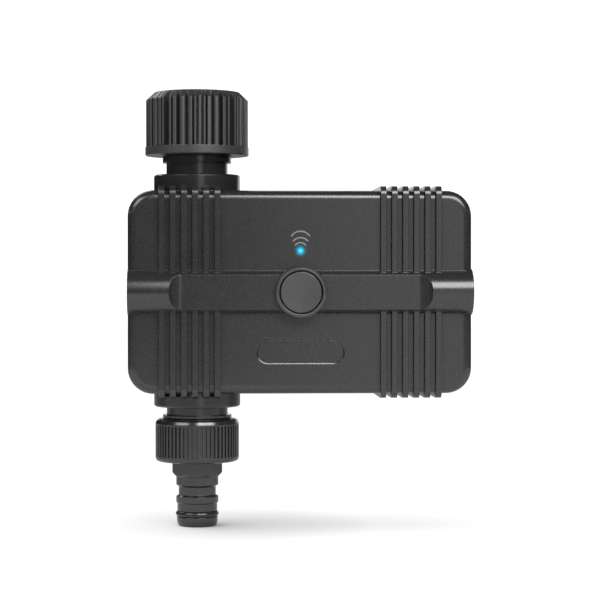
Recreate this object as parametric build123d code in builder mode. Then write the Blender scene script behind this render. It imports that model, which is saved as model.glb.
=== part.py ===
from build123d import *
import os
from math import acos, asin, atan2, cos, degrees, pi, radians, sin, sqrt, tan

# Smart water timer for a garden tap. Millimetres. The origin is the centre of the inlet nut's mouth.
# +Z runs up the water pipe, +X runs from the pipe to the battery side, and the front faces -Y.

os.makedirs("parts", exist_ok=True)

CENTRED = (Align.CENTER, Align.CENTER, Align.MIN)
touch_gap = 0.03
running_gap = 0.06
loose_gap = 0.35
fuse_sink = 0.5
cut_past = 1.0

# Casing
casing_x = 40.25
casing_z = -79.25
casing_width = 134.3
casing_height = 79.3
casing_corner = 10.0
casing_wall = 2.5
front_depth = 23.0
rear_depth = 25.0
edge_round = 3.5
casing_left = casing_x - casing_width / 2
casing_right = casing_x + casing_width / 2
casing_top = casing_z + casing_height / 2
casing_bottom = casing_z - casing_height / 2
front_inside = -(front_depth - casing_wall)
rear_inside = rear_depth - casing_wall
seal_width = 1.0
seal_height = 1.15
tongue_thickness = 1.5
tongue_gap = 0.2
tongue_reach = 4.0
tongue_root = 2.0
tongue_length = 30.0

# Grip ribs that wrap round both ends of the casing
rib_count = 6
rib_pitch = 4.32
rib_land = 2.2
rib_flank = 0.2
rib_rise = 1.7
rib_root_sink = 0.05
rib_bank_offset = 43.1

# Half-round bar across the front, with a flat along its middle that a scoop ends on each side
bar_radius = 9.0
bar_centre_y = -19.8
bar_flat_y = -25.8
bar_flat_length = 92.2
bar_scoop = 5.7
bar_hollow_length = 92.0
bar_hollow_height = 9.0
bar_hollow_y = -23.6

# Button in its ring
ring_radius = 9.9
ring_bore = 8.45
ring_front = -28.6
ring_chamfer = 0.65
ring_round = 0.4
ring_floor_front = -23.0
ring_floor_bore = 4.3
button_radius = 7.9
button_front = -28.9
button_back = -25.3
button_dish = 0.35
button_edge = 0.3
button_stem_radius = 3.9
button_seal_front = -24.2
button_seal_lip = 0.6
button_seal_waist = 1.6
button_seal_crest = 1.2
switch_side = 6.0
switch_front = -22.8
switch_base = 0.4
plunger_radius = 1.7
plunger_front = -23.6
plunger_back = -21.4
plunger_chamfer = 0.25

# Light, signal arcs and badge on the front
light_z = casing_z + 16.1
light_radius = 1.2
mark_depth = 0.3
mark_stroke = 0.5
signal_arcs = (
    # top of the arc, its radius, half its width
    (-55.55, 4.3, 3.6),
    (-58.05, 3.7, 2.9),
    (-60.0, 2.6, 2.1),
)
badge_z = casing_z - 22.95
badge_length = 33.6
badge_height = 9.1
badge_corner = 4.1
badge_rim_width = 0.5
badge_rim_depth = 0.2
badge_recess = 0.7
badge_thickness = 0.4
badge_gap = 0.15

# Circuit board behind the front wall
board_front = -19.4
board_thickness = 1.6
board_left = 22.0
board_right = 58.0
board_top = -50.0
board_bottom = -108.0
board_back = board_front + board_thickness
board_hole = 1.1
board_hole_inset = 3.0
board_post_radius = 2.4
board_screw_head = 1.9
board_screw_head_height = 1.2
board_screw_length = 2.4
small_slot = (1.1, 0.4, 0.6)
led_size = (2.0, 0.6, 1.4)
radio_size = (16.0, 0.8, 19.0)
radio_middle = (37.0, -94.0)
chip_size = (8.0, 1.0, 8.0)
chip_middle = (51.0, -85.0)
chip_chamfer = 0.2
sensor_size = (4.0, 0.5, 2.8)
sensor_spacing = 16.0
connector_size = (6.0, 4.0, 6.0)
battery_plug_z = -60.5
motor_plug_z = -68.0
capacitor_radius = 3.0
capacitor_height = 5.5
capacitor_x = 47.0
capacitor_z = -97.0
capacitor_edge = 0.5

# Casing screws
casing_screw_places = ((-20.0, -52.0), (-20.0, -106.5), (62.3, -46.6), (62.3, -111.9))
screw_radius = 1.5
screw_head_radius = 2.8
screw_head_height = 2.2
screw_seat_y = 20.0
screw_tip_y = -8.0
screw_boss_radius = 4.0
screw_recess = 3.2
screw_slot_length = 1.7
screw_slot_width = 0.7
screw_slot_depth = 0.9

# Inlet side of the water column
nut_radius = 20.6
nut_height = 25.1
nut_mouth_radius = 17.0
nut_chamfer = 3.4
nut_band_top = -21.8
nut_edge = 0.3
nut_thread_radius = 15.15
nut_shoulder_z = -18.0
nut_neck_bore = 12.6
nut_groups = 9
nut_group_start = -86.6
nut_core_radius = 17.6
nut_rib_root = 16.8
nut_rib_drop = 0.3
nut_groove_rib_drop = 0.7
nut_ribs = (
    # angle from the deep groove that starts the group, width, roundness of the crest
    (5.2, 0.85, 0.3),
    (10.6, 1.6, 0.45),
    (20.0, 2.6, 1.25),
    (29.4, 1.6, 0.45),
    (34.8, 0.85, 0.3),
)
nut_groove_rib = (0.0, 1.45, 0.6)
reducer_radius = 15.09
reducer_bore = 12.06
reducer_length = 12.5
reducer_shoulder = -10.5
thread_length = 8.4
washer_radius = 11.5
reducer_opening = 8.6
washer_thickness = 2.0
washer_opening = 8.0
filter_mesh_radius = 8.6
filter_mesh_thickness = 0.6
filter_cone_rise = 1.2
spigot_top = -14.7
spigot_flange_radius = 14.6
spigot_flange_bottom = -17.6
spigot_bore = 8.5
spigot_bore_taper = 3.0
spigot_washer_inset = 0.4
washer_play = 0.2
neck_radius = 12.24
clip_radius = 13.7
clip_top = -25.45
clip_bottom = -28.0
clip_groove_radius = 11.3
clip_mouth = 14.0

# Valve body between its two collars
collar_radius = 17.2
upper_collar_top = -32.8
lower_collar_bottom = -124.9
collar_edge = 0.6
stop_flange_radius = 18.6
stop_flange_height = 2.2
stop_flange_gap = 0.15
upper_stop_taper = 4.0
lower_stop_taper = 6.0
pipe_radius = 10.0
water_bore = 6.5
socket_radius = 11.0
socket_depth = 17.0
collar_seal_radius = 0.9
collar_groove_depth = 1.85
collar_groove_inset = 0.2
collar_groove_width = 2.0
chamber_radius = 15.5
chamber_bore = 11.0
chamber_neck_radius = 14.0
chamber_neck_taper = 3.0
chamber_top = casing_z + 15.5
chamber_bottom = casing_z - 15.5
seat_reach = 11.2
seat_start = 6.0
seat_opening = 6.4
seat_lip = 1.5
ball_radius = 10.0
ball_bore = 6.0
ball_gap = 0.08
ball_slot_width = 4.0
ball_slot_floor = 7.2

# Valve stem, which turns about the X axis through the ball
stem_boss_radius = 7.5
stem_boss_end = 20.0
stem_boss_spigot = 6.0
stem_radius = 4.0
stem_flange_radius = 5.5
stem_flange_start = 10.25
stem_flange_end = 11.3
stem_pocket_radius = 5.85
stem_pocket_end = 11.6
stem_tang_start = 7.4
stem_tang_height = 7.6
stem_tang_width = 3.9
stem_end = 29.0
stem_flat = 3.1
stem_groove_radius = 2.9
stem_seal_places = (13.8, 16.8)
stem_groove_width = 1.5
stem_seal_section = 0.55
stem_screw_hole = 4.0
stem_screw_head_height = 0.8

# Outlet side
outlet_plug_top = casing_z - seat_reach - 0.1
outlet_flange_bottom = chamber_bottom - 4.0
outlet_neck_radius = 12.15
outlet_flange_top_z = -128.2
outlet_rim_radius = 13.7
outlet_rim_bottom = -129.2
outlet_thread_radius = 12.0
outlet_thread_end = -141.6
adapter_bore = 12.06
adapter_radius = 16.66
adapter_top = -129.45
adapter_shoulder = 2.1
adapter_floor = -143.8
adapter_bottom = -146.8
adapter_edge = 1.4
adapter_shoulder_step = 0.95
adapter_shoulder_slope = 0.35
adapter_shoulder_run = 1.4
adapter_side_step = 0.45
adapter_foot_step = 0.4
adapter_grooves = 60
adapter_groove_width = 0.8
adapter_groove_depth = 0.75
adapter_groove_top = -132.3
adapter_groove_bottom = -144.6
nipple_bore = 5.2
hex_corner_radius = 9.95
hex_bottom = -151.4
hex_chamfer_end = -153.0
latch_ring_radius = 8.42
latch_ring_bottom = -156.2
latch_neck_radius = 7.4
latch_neck_top = -157.0
latch_neck_bottom = -160.2
nose_ring_top = -160.8
nose_ring_bottom = -163.2
nose_radius = 7.96
nose_top = -163.6
seal_groove_top = -166.6
seal_groove_bottom = -169.0
seal_groove_radius = 6.3
nipple_seal_section = 1.15
nipple_seal_z = -167.8
tip_radius = 8.16
tip_end_radius = 7.2
tip_taper = 1.9
tip_nose = 0.7
tip_step = 0.3
nipple_end = -172.7
outlet_washer_radius = 11.8
outlet_washer_opening = 5.4
outlet_washer_top = -141.8

# Gear train: each wheel carries the pinion of the next stage on its back
pressure = radians(20)
addendum = 0.8
dedendum = 1.1
gear_backlash = 0.1
pinion_teeth = 14
output_teeth = 42
wheel_teeth = 56
output_module = 0.7
second_module = 0.5
first_module = 0.4
output_gear_start = 24.0
output_gear_end = 29.0
second_wheel_start = 30.0
second_wheel_end = 33.5
first_wheel_start = 35.8
first_wheel_end = 38.6
motor_pinion_end = 39.4
axle_radius = 1.0
axle_bore = 1.06
axle_socket = 0.45
first_axle_gap = 0.6
gear_hub_reach = 1.5
gear_hub_wall = 2.0
output_spacing = output_module * (output_teeth + pinion_teeth) / 2
second_spacing = second_module * (wheel_teeth + pinion_teeth) / 2
first_spacing = first_module * (wheel_teeth + pinion_teeth) / 2
second_y = 0.0
second_z = casing_z - output_spacing
first_y = 8.0
first_z = second_z + sqrt(second_spacing**2 - first_y**2)
motor_y = first_y
motor_z = first_z + first_spacing

# Gearbox and motor
box_front = -17.2
box_rear = 21.5
box_top = casing_z + 17.2
box_bottom = casing_z - 36.0
box_corner = 4.0
box_wall = 1.5
box_start = 20.0
box_end = 40.0
box_cover_end = 41.5
box_screw_radius = 1.0
box_screw_head = 1.9
box_screw_inset = 3.2
box_screw_hole = 8.0
box_screw_length = 6.0
box_screw_head_height = 1.1
box_post_radius = 2.3
motor_end = 63.5
motor_width = 20.1
motor_flat = 15.1
motor_shaft_radius = 1.0
motor_boss_radius = 3.0
magnet_radius = 1.5
magnet_length = 2.5
magnet_reach = 10.0

# Battery compartment behind the right-hand ribs
tray_x = 85.45
tray_inner_width = 30.5
tray_inner_height = 56.0
tray_wall = 1.2
tray_floor = -11.0
tray_mouth = 18.75
cell_radius = 7.1
cell_length = 49.2
cell_nub_radius = 2.75
cell_nub_length = 1.3
cell_pitch_x = 15.0
cell_rows = (-2.0, 13.0)
contact_thickness = 0.4
contact_width = 9.0
cover_width = 34.4
cover_height = 69.0
cover_corner = 4.0
cover_gap = 0.3
cover_seat = 21.8
cover_back = 22.7
frame_inside = 18.8
frame_margin = 4.0
cover_seal_width = 1.0
cover_screw_x = 14.2
cover_screw_z = 31.9
cover_screw_radius = 1.25
cover_screw_bore = 1.3
cover_screw_head = 2.3
cover_screw_recess = 2.6
cover_screw_seat = 23.85
cover_screw_tip = 15.0
cover_boss_end = 14.0
cover_chamfer = 0.4
cover_slot = (1.4, 0.5, 0.6)
cover_screw_head_height = 1.1
cover_grip_length = 16.0
cover_grip_width = 1.4
cover_grip_depth = 0.8
cover_grip_rise = 6.0
cover_seal_gap = 0.3
cover_seal_corner = 2.4
lead_radius = 0.6
lead_bend = 2.4
lead_spread = 1.6
battery_lead_y = -5.0
battery_lead_x = 64.0
motor_lead_y = 4.0
motor_lead_x = 67.1
motor_lead_bend = 1.2


def facing_front(y):
    """Plane at a depth y, seen from the front: local x is X and local y is Z."""
    return Plane(origin=(0, y, 0), x_dir=(1, 0, 0), z_dir=(0, -1, 0))


def facing_right(x, y=0.0, z=0.0):
    """Plane across the X axis: local x is Y and local y is Z, measured from (y, z)."""
    return Plane(origin=(x, y, z), x_dir=(0, 1, 0), z_dir=(1, 0, 0))


def block(low, high, mode=Mode.ADD):
    """A box between two opposite corners."""
    size = [b - a for a, b in zip(low, high)]
    middle = [(a + b) / 2 for a, b in zip(low, high)]
    with Locations(tuple(middle)):
        Box(*size, mode=mode)


def rod(start, direction, radius, length, mode=Mode.ADD):
    """A cylinder from a start point along a direction."""
    with Locations(Plane(origin=start, z_dir=direction)):
        Cylinder(radius, length, align=CENTRED, mode=mode)


def turned_face(points, plane=Plane.XZ):
    """A closed face through (radius, height) points, ready to be turned about its plane's height axis."""
    with BuildSketch(plane) as face:
        with BuildLine():
            Polyline(*points, close=True)
        make_face()
    return face.sketch


def rounded_frame(width, height, corner, plane, x, z):
    """A rounded rectangle on a plane."""
    with BuildSketch(plane) as frame:
        with Locations((x, z)):
            RectangleRounded(width, height, corner)
    return frame.sketch


def tooth_half_angle(module, teeth, radius):
    """Half of a tooth's angle at a radius, on involute flanks."""
    pitch_radius = module * teeth / 2
    base_radius = pitch_radius * cos(pressure)
    turn = acos(min(1.0, base_radius / radius))
    at_pitch = pi / (2 * teeth) - gear_backlash / (4 * pitch_radius)
    return at_pitch + (tan(pressure) - pressure) - (tan(turn) - turn)


def gear_face(module, teeth, plane, first_tooth):
    """A spur gear's face with stub involute teeth, one of them centred on the angle first_tooth."""
    pitch_radius = module * teeth / 2
    tip = pitch_radius + addendum * module
    root = pitch_radius - dedendum * module
    flank_start = max(root, pitch_radius * cos(pressure) + touch_gap)
    flank_radii = [flank_start, (flank_start + tip) / 2, tip]
    half_angles = [tooth_half_angle(module, teeth, radius) for radius in flank_radii]
    lower = [Vector(r * cos(a), -r * sin(a)) for r, a in zip(flank_radii, half_angles)]
    upper = [Vector(p.X, -p.Y) for p in lower]
    sunk = root - module / 2
    foot_low = Vector(sunk * cos(half_angles[0]), -sunk * sin(half_angles[0]))
    foot_high = Vector(foot_low.X, -foot_low.Y)
    with BuildSketch() as tooth:
        with BuildLine():
            Line(foot_low, lower[0])
            Spline(*lower)
            ThreePointArc(lower[-1], Vector(tip, 0), upper[-1])
            Spline(*reversed(upper))
            Line(upper[0], foot_high)
            Line(foot_high, foot_low)
        make_face()
    with BuildSketch(plane) as gear:
        Circle(root)
        with PolarLocations(0, teeth, start_angle=first_tooth):
            add(tooth.sketch)
    return gear.sketch


def meshing_tooth(angle, teeth, first_tooth, other_teeth):
    """First tooth's angle of a gear that meshes with another, which lies at an angle from it."""
    fraction = (angle - first_tooth) * teeth / 360
    return angle + 180 - (0.5 - fraction) * 360 / other_teeth


def screw_slot(centre, length, width, depth, mode=Mode.SUBTRACT):
    """A cross recess, cut along Y into a screw head whose outer face is at the centre point."""
    x, y, z = centre
    block((x - length, y - depth, z - width / 2), (x + length, y + touch_gap, z + width / 2), mode)
    block((x - width / 2, y - depth, z - length), (x + width / 2, y + touch_gap, z + length), mode)


def part_on_board(size, middle_x, middle_z, side_y, outward):
    """A flat block soldered to one side of the board."""
    wide, deep, tall = size
    depths = sorted((side_y, side_y + outward * deep))
    block((middle_x - wide / 2, depths[0], middle_z - tall / 2),
          (middle_x + wide / 2, depths[1], middle_z + tall / 2))


button_axis = Axis((casing_x, 0, casing_z), (0, 1, 0))
button_plane = Plane(origin=(casing_x, 0, casing_z), x_dir=(1, 0, 0), z_dir=(0, 0, 1))
stem_axis = Axis((0, 0, casing_z), (1, 0, 0))
stem_plane = Plane(origin=(0, 0, casing_z), x_dir=(0, 0, 1), z_dir=(0, 1, 0))
rib_centres = []
for side in (-1, 1):
    for index in range(rib_count):
        bank_step = (index - (rib_count - 1) / 2) * rib_pitch
        rib_centres.append(casing_x + side * rib_bank_offset + bank_step)

# One rib: a hoop round the casing that fades out at its rear edge
hoop_depth = front_depth + rear_depth
hoop_sections = (
    (-rib_land / 2 - rib_flank, -rib_root_sink),
    (-rib_land / 2, rib_rise),
    (rib_land / 2, rib_rise),
    (rib_land / 2 + rib_flank, -rib_root_sink),
)
with BuildPart() as rib_hoop:
    for hoop_x, rise in hoop_sections:
        rear_drop = min(rise, 0)
        with BuildSketch(facing_right(hoop_x)):
            with Locations(((rear_depth + rear_drop - front_depth - rise) / 2, casing_z)):
                hoop_width = hoop_depth + rise + rear_drop
                RectangleRounded(hoop_width, casing_height + 2 * rise, edge_round)
    loft(ruled=True)


# The flat along the bar ends in a scoop on each side, tangent to the flat
scoop_left = casing_x - bar_flat_length / 2
scoop_right = casing_x + bar_flat_length / 2
scoop_y = bar_flat_y - bar_scoop

# Outer shell of both casing halves, solid, with the ribs and the bar
with BuildPart() as outer_shell:
    shell_face = rounded_frame(
        casing_width, casing_height, casing_corner, facing_front(rear_depth), casing_x, casing_z
    )
    extrude(shell_face, amount=hoop_depth)
    end_faces = outer_shell.faces().sort_by(Axis.Y)
    fillet(end_faces[0].edges() + end_faces[-1].edges(), radius=edge_round)
    with Locations(*[(x, 0, 0) for x in rib_centres]):
        add(rib_hoop.part)
    with BuildSketch(facing_right(casing_left)):
        with Locations((bar_centre_y, casing_z)):
            Circle(bar_radius)
    extrude(amount=casing_width)
    with BuildSketch(Plane.XY.offset(casing_z - bar_radius)):
        with BuildLine():
            Line((scoop_left, bar_flat_y), (scoop_right, bar_flat_y))
            RadiusArc((scoop_right, bar_flat_y), (scoop_right + bar_scoop, scoop_y), bar_scoop)
            Line((scoop_right + bar_scoop, scoop_y), (scoop_left - bar_scoop, scoop_y))
            RadiusArc((scoop_left - bar_scoop, scoop_y), (scoop_left, bar_flat_y), bar_scoop)
        make_face()
    extrude(amount=2 * bar_radius, mode=Mode.SUBTRACT)
    rod((0, 0, casing_bottom - collar_radius), (0, 0, 1), collar_radius + touch_gap,
        casing_height + 2 * collar_radius, Mode.SUBTRACT)

# Inner space of the casing
with BuildPart() as casing_space:
    space_face = rounded_frame(
        casing_width - 2 * casing_wall, casing_height - 2 * casing_wall, casing_corner - casing_wall,
        facing_front(rear_inside), casing_x, casing_z,
    )
    extrude(space_face, amount=rear_inside - front_inside)

board_holes = (
    (board_left + board_hole_inset, board_top - board_hole_inset),
    (board_right - board_hole_inset, board_top - board_hole_inset),
    (board_right - board_hole_inset, board_bottom + board_hole_inset),
)

# Front half of the casing
with BuildPart() as front_casing:
    add(outer_shell.part)
    add(casing_space.part, mode=Mode.SUBTRACT)
    split(bisect_by=Plane.XZ, keep=Keep.TOP)
    with BuildSketch(facing_front(front_inside + touch_gap)):
        with Locations((casing_x, casing_z)):
            RectangleRounded(bar_hollow_length, bar_hollow_height, edge_round)
    extrude(amount=front_inside - bar_hollow_y, mode=Mode.SUBTRACT)
    rod((casing_x, 0, casing_z), (0, -1, 0), ring_radius + touch_gap, 2 * front_depth, Mode.SUBTRACT)
    rod((casing_x, 0, light_z), (0, -1, 0), light_radius + touch_gap, 2 * front_depth, Mode.SUBTRACT)
    with BuildSketch(facing_front(badge_recess - front_depth)):
        with Locations((casing_x, badge_z)):
            RectangleRounded(badge_length, badge_height, badge_corner)
    extrude(amount=badge_recess, mode=Mode.SUBTRACT)
    for rim_side in (-1, 1):
        rim_spread = (1 + rim_side) * badge_rim_width
        with BuildSketch(facing_front(-front_depth - rim_side * badge_rim_depth)):
            with Locations((casing_x, badge_z)):
                RectangleRounded(
                    badge_length + 2 * rim_spread, badge_height + 2 * rim_spread, badge_corner + rim_spread
                )
    loft(ruled=True, mode=Mode.SUBTRACT)
    with BuildSketch(facing_front(front_inside - touch_gap)):
        with Locations(*board_holes):
            Circle(board_post_radius)
            Circle(board_hole - running_gap, mode=Mode.SUBTRACT)
    extrude(amount=front_inside - touch_gap - board_front + touch_gap, dir=(0, 1, 0))
    for screw_x, screw_z in casing_screw_places:
        rod((screw_x, front_inside - touch_gap, screw_z), (0, 1, 0), screw_boss_radius, -front_inside)
        rod((screw_x, 0, screw_z), (0, -1, 0), screw_radius + touch_gap, cut_past - screw_tip_y,
            Mode.SUBTRACT)
    with BuildSketch(facing_front(mark_depth - front_depth)):
        for arc_top, arc_radius, half_width in signal_arcs:
            half_turn = degrees(asin(half_width / arc_radius))
            with BuildLine() as mark_line:
                CenterArc((casing_x, arc_top - arc_radius), arc_radius, 90 - half_turn, 2 * half_turn)
            trace(mark_line.line, line_width=mark_stroke)
    extrude(amount=mark_depth * 2, mode=Mode.SUBTRACT)
front_casing.part.label = "front_casing"
export_step(front_casing.part, "parts/front_casing.step")

# Signal arcs, set flush into the front
with BuildPart() as signal_mark:
    with BuildSketch(facing_front(mark_depth - front_depth)):
        for arc_top, arc_radius, half_width in signal_arcs:
            half_turn = degrees(asin(half_width / arc_radius))
            with BuildLine() as mark_line:
                CenterArc((casing_x, arc_top - arc_radius), arc_radius, 90 - half_turn, 2 * half_turn)
            trace(mark_line.line, line_width=mark_stroke)
    extrude(amount=mark_depth)
signal_mark.part.label = "signal_mark"
export_step(signal_mark.part, "parts/signal_mark.step")

# Rear half of the casing, with the frame that the battery cover sits in
cover_screw_places = []
for side_x in (-1, 1):
    for side_z in (-1, 1):
        cover_screw_places.append((tray_x + side_x * cover_screw_x, casing_z + side_z * cover_screw_z))
with BuildPart() as rear_casing:
    add(outer_shell.part)
    add(casing_space.part, mode=Mode.SUBTRACT)
    split(bisect_by=Plane.XZ, keep=Keep.BOTTOM)
    for screw_x, screw_z in casing_screw_places:
        rod((screw_x, 0, screw_z), (0, 1, 0), screw_boss_radius, rear_inside + touch_gap)
        rod((screw_x, 0, screw_z), (0, 1, 0), screw_radius + running_gap, rear_depth, Mode.SUBTRACT)
        rod((screw_x, screw_seat_y, screw_z), (0, 1, 0), screw_recess, rear_depth, Mode.SUBTRACT)
    frame_face = rounded_frame(
        cover_width + frame_margin, cover_height + frame_margin / 2, cover_corner,
        facing_front(rear_inside + touch_gap), tray_x, casing_z,
    )
    extrude(frame_face, amount=rear_inside + touch_gap - frame_inside)
    for screw_x, screw_z in cover_screw_places:
        rod((screw_x, cover_boss_end, screw_z), (0, 1, 0), cover_screw_recess, rear_inside - cover_boss_end)
    extrude(
        rounded_frame(
            cover_width + 2 * cover_gap, cover_height + 2 * cover_gap, cover_corner + cover_gap,
            facing_front(rear_depth + cut_past), tray_x, casing_z,
        ),
        amount=rear_depth + cut_past - cover_seat, mode=Mode.SUBTRACT,
    )
    extrude(
        rounded_frame(
            tray_inner_width, tray_inner_height, tray_wall, facing_front(rear_depth), tray_x, casing_z
        ),
        amount=rear_depth - frame_inside + cut_past, mode=Mode.SUBTRACT,
    )
    for screw_x, screw_z in cover_screw_places:
        hole_start = cover_boss_end + fuse_sink
        rod((screw_x, hole_start, screw_z), (0, 1, 0), cover_screw_bore, rear_depth, Mode.SUBTRACT)
    with BuildSketch(facing_front(seal_height + touch_gap)):
        with Locations((casing_x, casing_z)):
            groove_width = casing_width - casing_wall + seal_width + 2 * touch_gap
            groove_height = casing_height - casing_wall + seal_width + 2 * touch_gap
            RectangleRounded(groove_width, groove_height, casing_corner - casing_wall / 2 + seal_width / 2)
            groove_width = groove_width - 2 * seal_width - 4 * touch_gap
            groove_height = groove_height - 2 * seal_width - 4 * touch_gap
            inner_corner = casing_corner - casing_wall / 2 - seal_width / 2
            RectangleRounded(groove_width, groove_height, inner_corner, mode=Mode.SUBTRACT)
    extrude(amount=2 * seal_height, mode=Mode.SUBTRACT)
    tongue_right = casing_right - casing_wall - tongue_gap
    tongue_inner = tongue_right - tongue_thickness
    block((tongue_inner, -tongue_reach, casing_z - tongue_length / 2),
          (tongue_right, tongue_reach, casing_z + tongue_length / 2))
    block((tongue_inner, tongue_root, casing_z - tongue_length / 2),
          (tongue_right + tongue_gap + touch_gap, tongue_reach, casing_z + tongue_length / 2))
rear_casing.part.label = "rear_casing"
export_step(rear_casing.part, "parts/rear_casing.step")

# Seal cord in the seam between the halves, in two runs that end at the collars
with BuildPart() as casing_seal:
    with BuildSketch(facing_front(seal_height)):
        with Locations((casing_x, casing_z)):
            seal_outer_width = casing_width - casing_wall + seal_width
            seal_outer_height = casing_height - casing_wall + seal_width
            seal_corner = casing_corner - casing_wall / 2 + seal_width / 2
            RectangleRounded(seal_outer_width, seal_outer_height, seal_corner)
            RectangleRounded(
                seal_outer_width - 2 * seal_width, seal_outer_height - 2 * seal_width,
                seal_corner - seal_width, mode=Mode.SUBTRACT,
            )
    extrude(amount=seal_height - touch_gap)
    rod((0, 0, casing_bottom), (0, 0, 1), collar_radius + loose_gap, casing_height, Mode.SUBTRACT)
casing_seal.part.label = "casing_seal"
export_step(casing_seal.part, "parts/casing_seal.step")

# Casing screws
with BuildPart() as casing_screws:
    for screw_x, screw_z in casing_screw_places:
        rod((screw_x, screw_tip_y, screw_z), (0, 1, 0), screw_radius, screw_seat_y - screw_tip_y)
        rod((screw_x, screw_seat_y + touch_gap, screw_z), (0, 1, 0), screw_head_radius, screw_head_height)
        rod((screw_x, screw_seat_y - fuse_sink, screw_z), (0, 1, 0), screw_radius, 2 * fuse_sink)
        screw_slot(
            (screw_x, screw_seat_y + screw_head_height + touch_gap, screw_z),
            screw_slot_length, screw_slot_width, screw_slot_depth,
        )
casing_screws.part.label = "casing_screws"
export_step(casing_screws.part, "parts/casing_screws.step")

# Ring that guides the button, with a floor that its seal lies on
with BuildPart() as button_ring:
    ring_profile = (
        (ring_bore, ring_front),
        (ring_bore, ring_floor_front),
        (ring_floor_bore, ring_floor_front),
        (ring_floor_bore, front_inside),
        (ring_radius, front_inside),
        (ring_radius, ring_front + ring_chamfer),
        (ring_radius - ring_chamfer, ring_front),
    )
    revolve(turned_face(ring_profile, button_plane), axis=button_axis)
    front_edges = button_ring.edges().filter_by(GeomType.CIRCLE).group_by(Axis.Y)[0]
    fillet(front_edges.sort_by(SortBy.RADIUS)[0], radius=ring_round)
button_ring.part.label = "button_ring"
export_step(button_ring.part, "parts/button_ring.step")

# Push button, a shallow dished cap on a hollow stem
with BuildPart() as push_button:
    button_profile = (
        (0, button_front),
        (0, plunger_front - touch_gap),
        (button_stem_radius, plunger_front - touch_gap),
        (button_stem_radius, button_back),
        (button_radius, button_back),
        (button_radius, button_front),
    )
    revolve(turned_face(button_profile, button_plane), axis=button_axis)
    fillet(push_button.edges().group_by(Axis.Y)[0], radius=button_edge)
    dished_radius = button_radius - button_edge
    dish_sphere = (dished_radius**2 + button_dish**2) / (2 * button_dish)
    with Locations((casing_x, button_front + button_dish - dish_sphere, casing_z)):
        Sphere(dish_sphere, mode=Mode.SUBTRACT)
push_button.part.label = "push_button"
export_step(push_button.part, "parts/push_button.step")

# Rubber ring under the button
with BuildPart() as button_seal:
    button_seal_profile = (
        (ring_floor_bore + running_gap, ring_floor_front - touch_gap),
        (ring_bore - running_gap, ring_floor_front - touch_gap),
        (ring_bore - running_gap, ring_floor_front - button_seal_lip),
        (ring_floor_bore + button_seal_waist, ring_floor_front - button_seal_lip),
        (ring_floor_bore + button_seal_crest, button_seal_front),
        (ring_floor_bore + running_gap, button_seal_front),
    )
    revolve(turned_face(button_seal_profile, button_plane), axis=button_axis)
button_seal.part.label = "button_seal"
export_step(button_seal.part, "parts/button_seal.step")

# Light guide over the status light
with BuildPart() as light_guide:
    guide_back = board_front - led_size[1] - touch_gap
    rod((casing_x, guide_back, light_z), (0, -1, 0), light_radius, guide_back + front_depth)
light_guide.part.label = "light_guide"
export_step(light_guide.part, "parts/light_guide.step")

# Plain badge plate in its recess
with BuildPart() as badge_plate:
    plate_back = badge_recess - front_depth - touch_gap
    extrude(
        rounded_frame(
            badge_length - 2 * badge_gap, badge_height - 2 * badge_gap, badge_corner - badge_gap,
            facing_front(plate_back), casing_x, badge_z,
        ),
        amount=badge_thickness,
    )
badge_plate.part.label = "badge_plate"
export_step(badge_plate.part, "parts/badge_plate.step")

# Circuit board
with BuildPart() as circuit_board:
    block((board_left, board_front, board_bottom), (board_right, board_back, board_top))
    for hole_x, hole_z in board_holes:
        rod((hole_x, 0, hole_z), (0, -1, 0), board_hole, front_depth, Mode.SUBTRACT)
circuit_board.part.label = "circuit_board"
export_step(circuit_board.part, "parts/circuit_board.step")

# Screws that hold the board on its posts
with BuildPart() as board_screws:
    for hole_x, hole_z in board_holes:
        head_seat = board_back + touch_gap
        rod((hole_x, head_seat, hole_z), (0, 1, 0), board_screw_head, board_screw_head_height)
        rod((hole_x, head_seat + touch_gap, hole_z), (0, -1, 0), board_hole - 2 * running_gap,
            board_screw_length)
        screw_slot((hole_x, head_seat + board_screw_head_height, hole_z), *small_slot)
board_screws.part.label = "board_screws"
export_step(board_screws.part, "parts/board_screws.step")

# Parts soldered to the board
with BuildPart() as status_led:
    part_on_board(led_size, casing_x, light_z, board_front, -1)
status_led.part.label = "status_led"
export_step(status_led.part, "parts/status_led.step")

with BuildPart() as tact_switch:
    half_side = switch_side / 2
    block((casing_x - half_side, switch_front, casing_z - half_side),
          (casing_x + half_side, board_front, casing_z + half_side))
    rod((casing_x, board_front - switch_base, casing_z), (0, -1, 0), plunger_radius + running_gap,
        front_depth, Mode.SUBTRACT)
tact_switch.part.label = "tact_switch"
export_step(tact_switch.part, "parts/tact_switch.step")

with BuildPart() as switch_plunger:
    rod((casing_x, plunger_back, casing_z), (0, -1, 0), plunger_radius, plunger_back - plunger_front)
    chamfer(switch_plunger.edges().group_by(Axis.Y)[0], length=plunger_chamfer)
switch_plunger.part.label = "switch_plunger"
export_step(switch_plunger.part, "parts/switch_plunger.step")

with BuildPart() as radio_module:
    part_on_board(radio_size, *radio_middle, board_front, -1)
radio_module.part.label = "radio_module"
export_step(radio_module.part, "parts/radio_module.step")

with BuildPart() as controller_chip:
    part_on_board(chip_size, *chip_middle, board_front, -1)
    chamfer(controller_chip.edges().group_by(Axis.Y)[0], length=chip_chamfer)
controller_chip.part.label = "controller_chip"
export_step(controller_chip.part, "parts/controller_chip.step")

# The sensors read the magnet of the output gear in its two end positions
with BuildPart() as hall_sensors:
    sensor_x = (output_gear_start + output_gear_end) / 2
    for sensor_z in (casing_z - sensor_spacing / 2, casing_z + sensor_spacing / 2):
        part_on_board(sensor_size, sensor_x, sensor_z, board_back, 1)
hall_sensors.part.label = "hall_sensors"
export_step(hall_sensors.part, "parts/hall_sensors.step")

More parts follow.
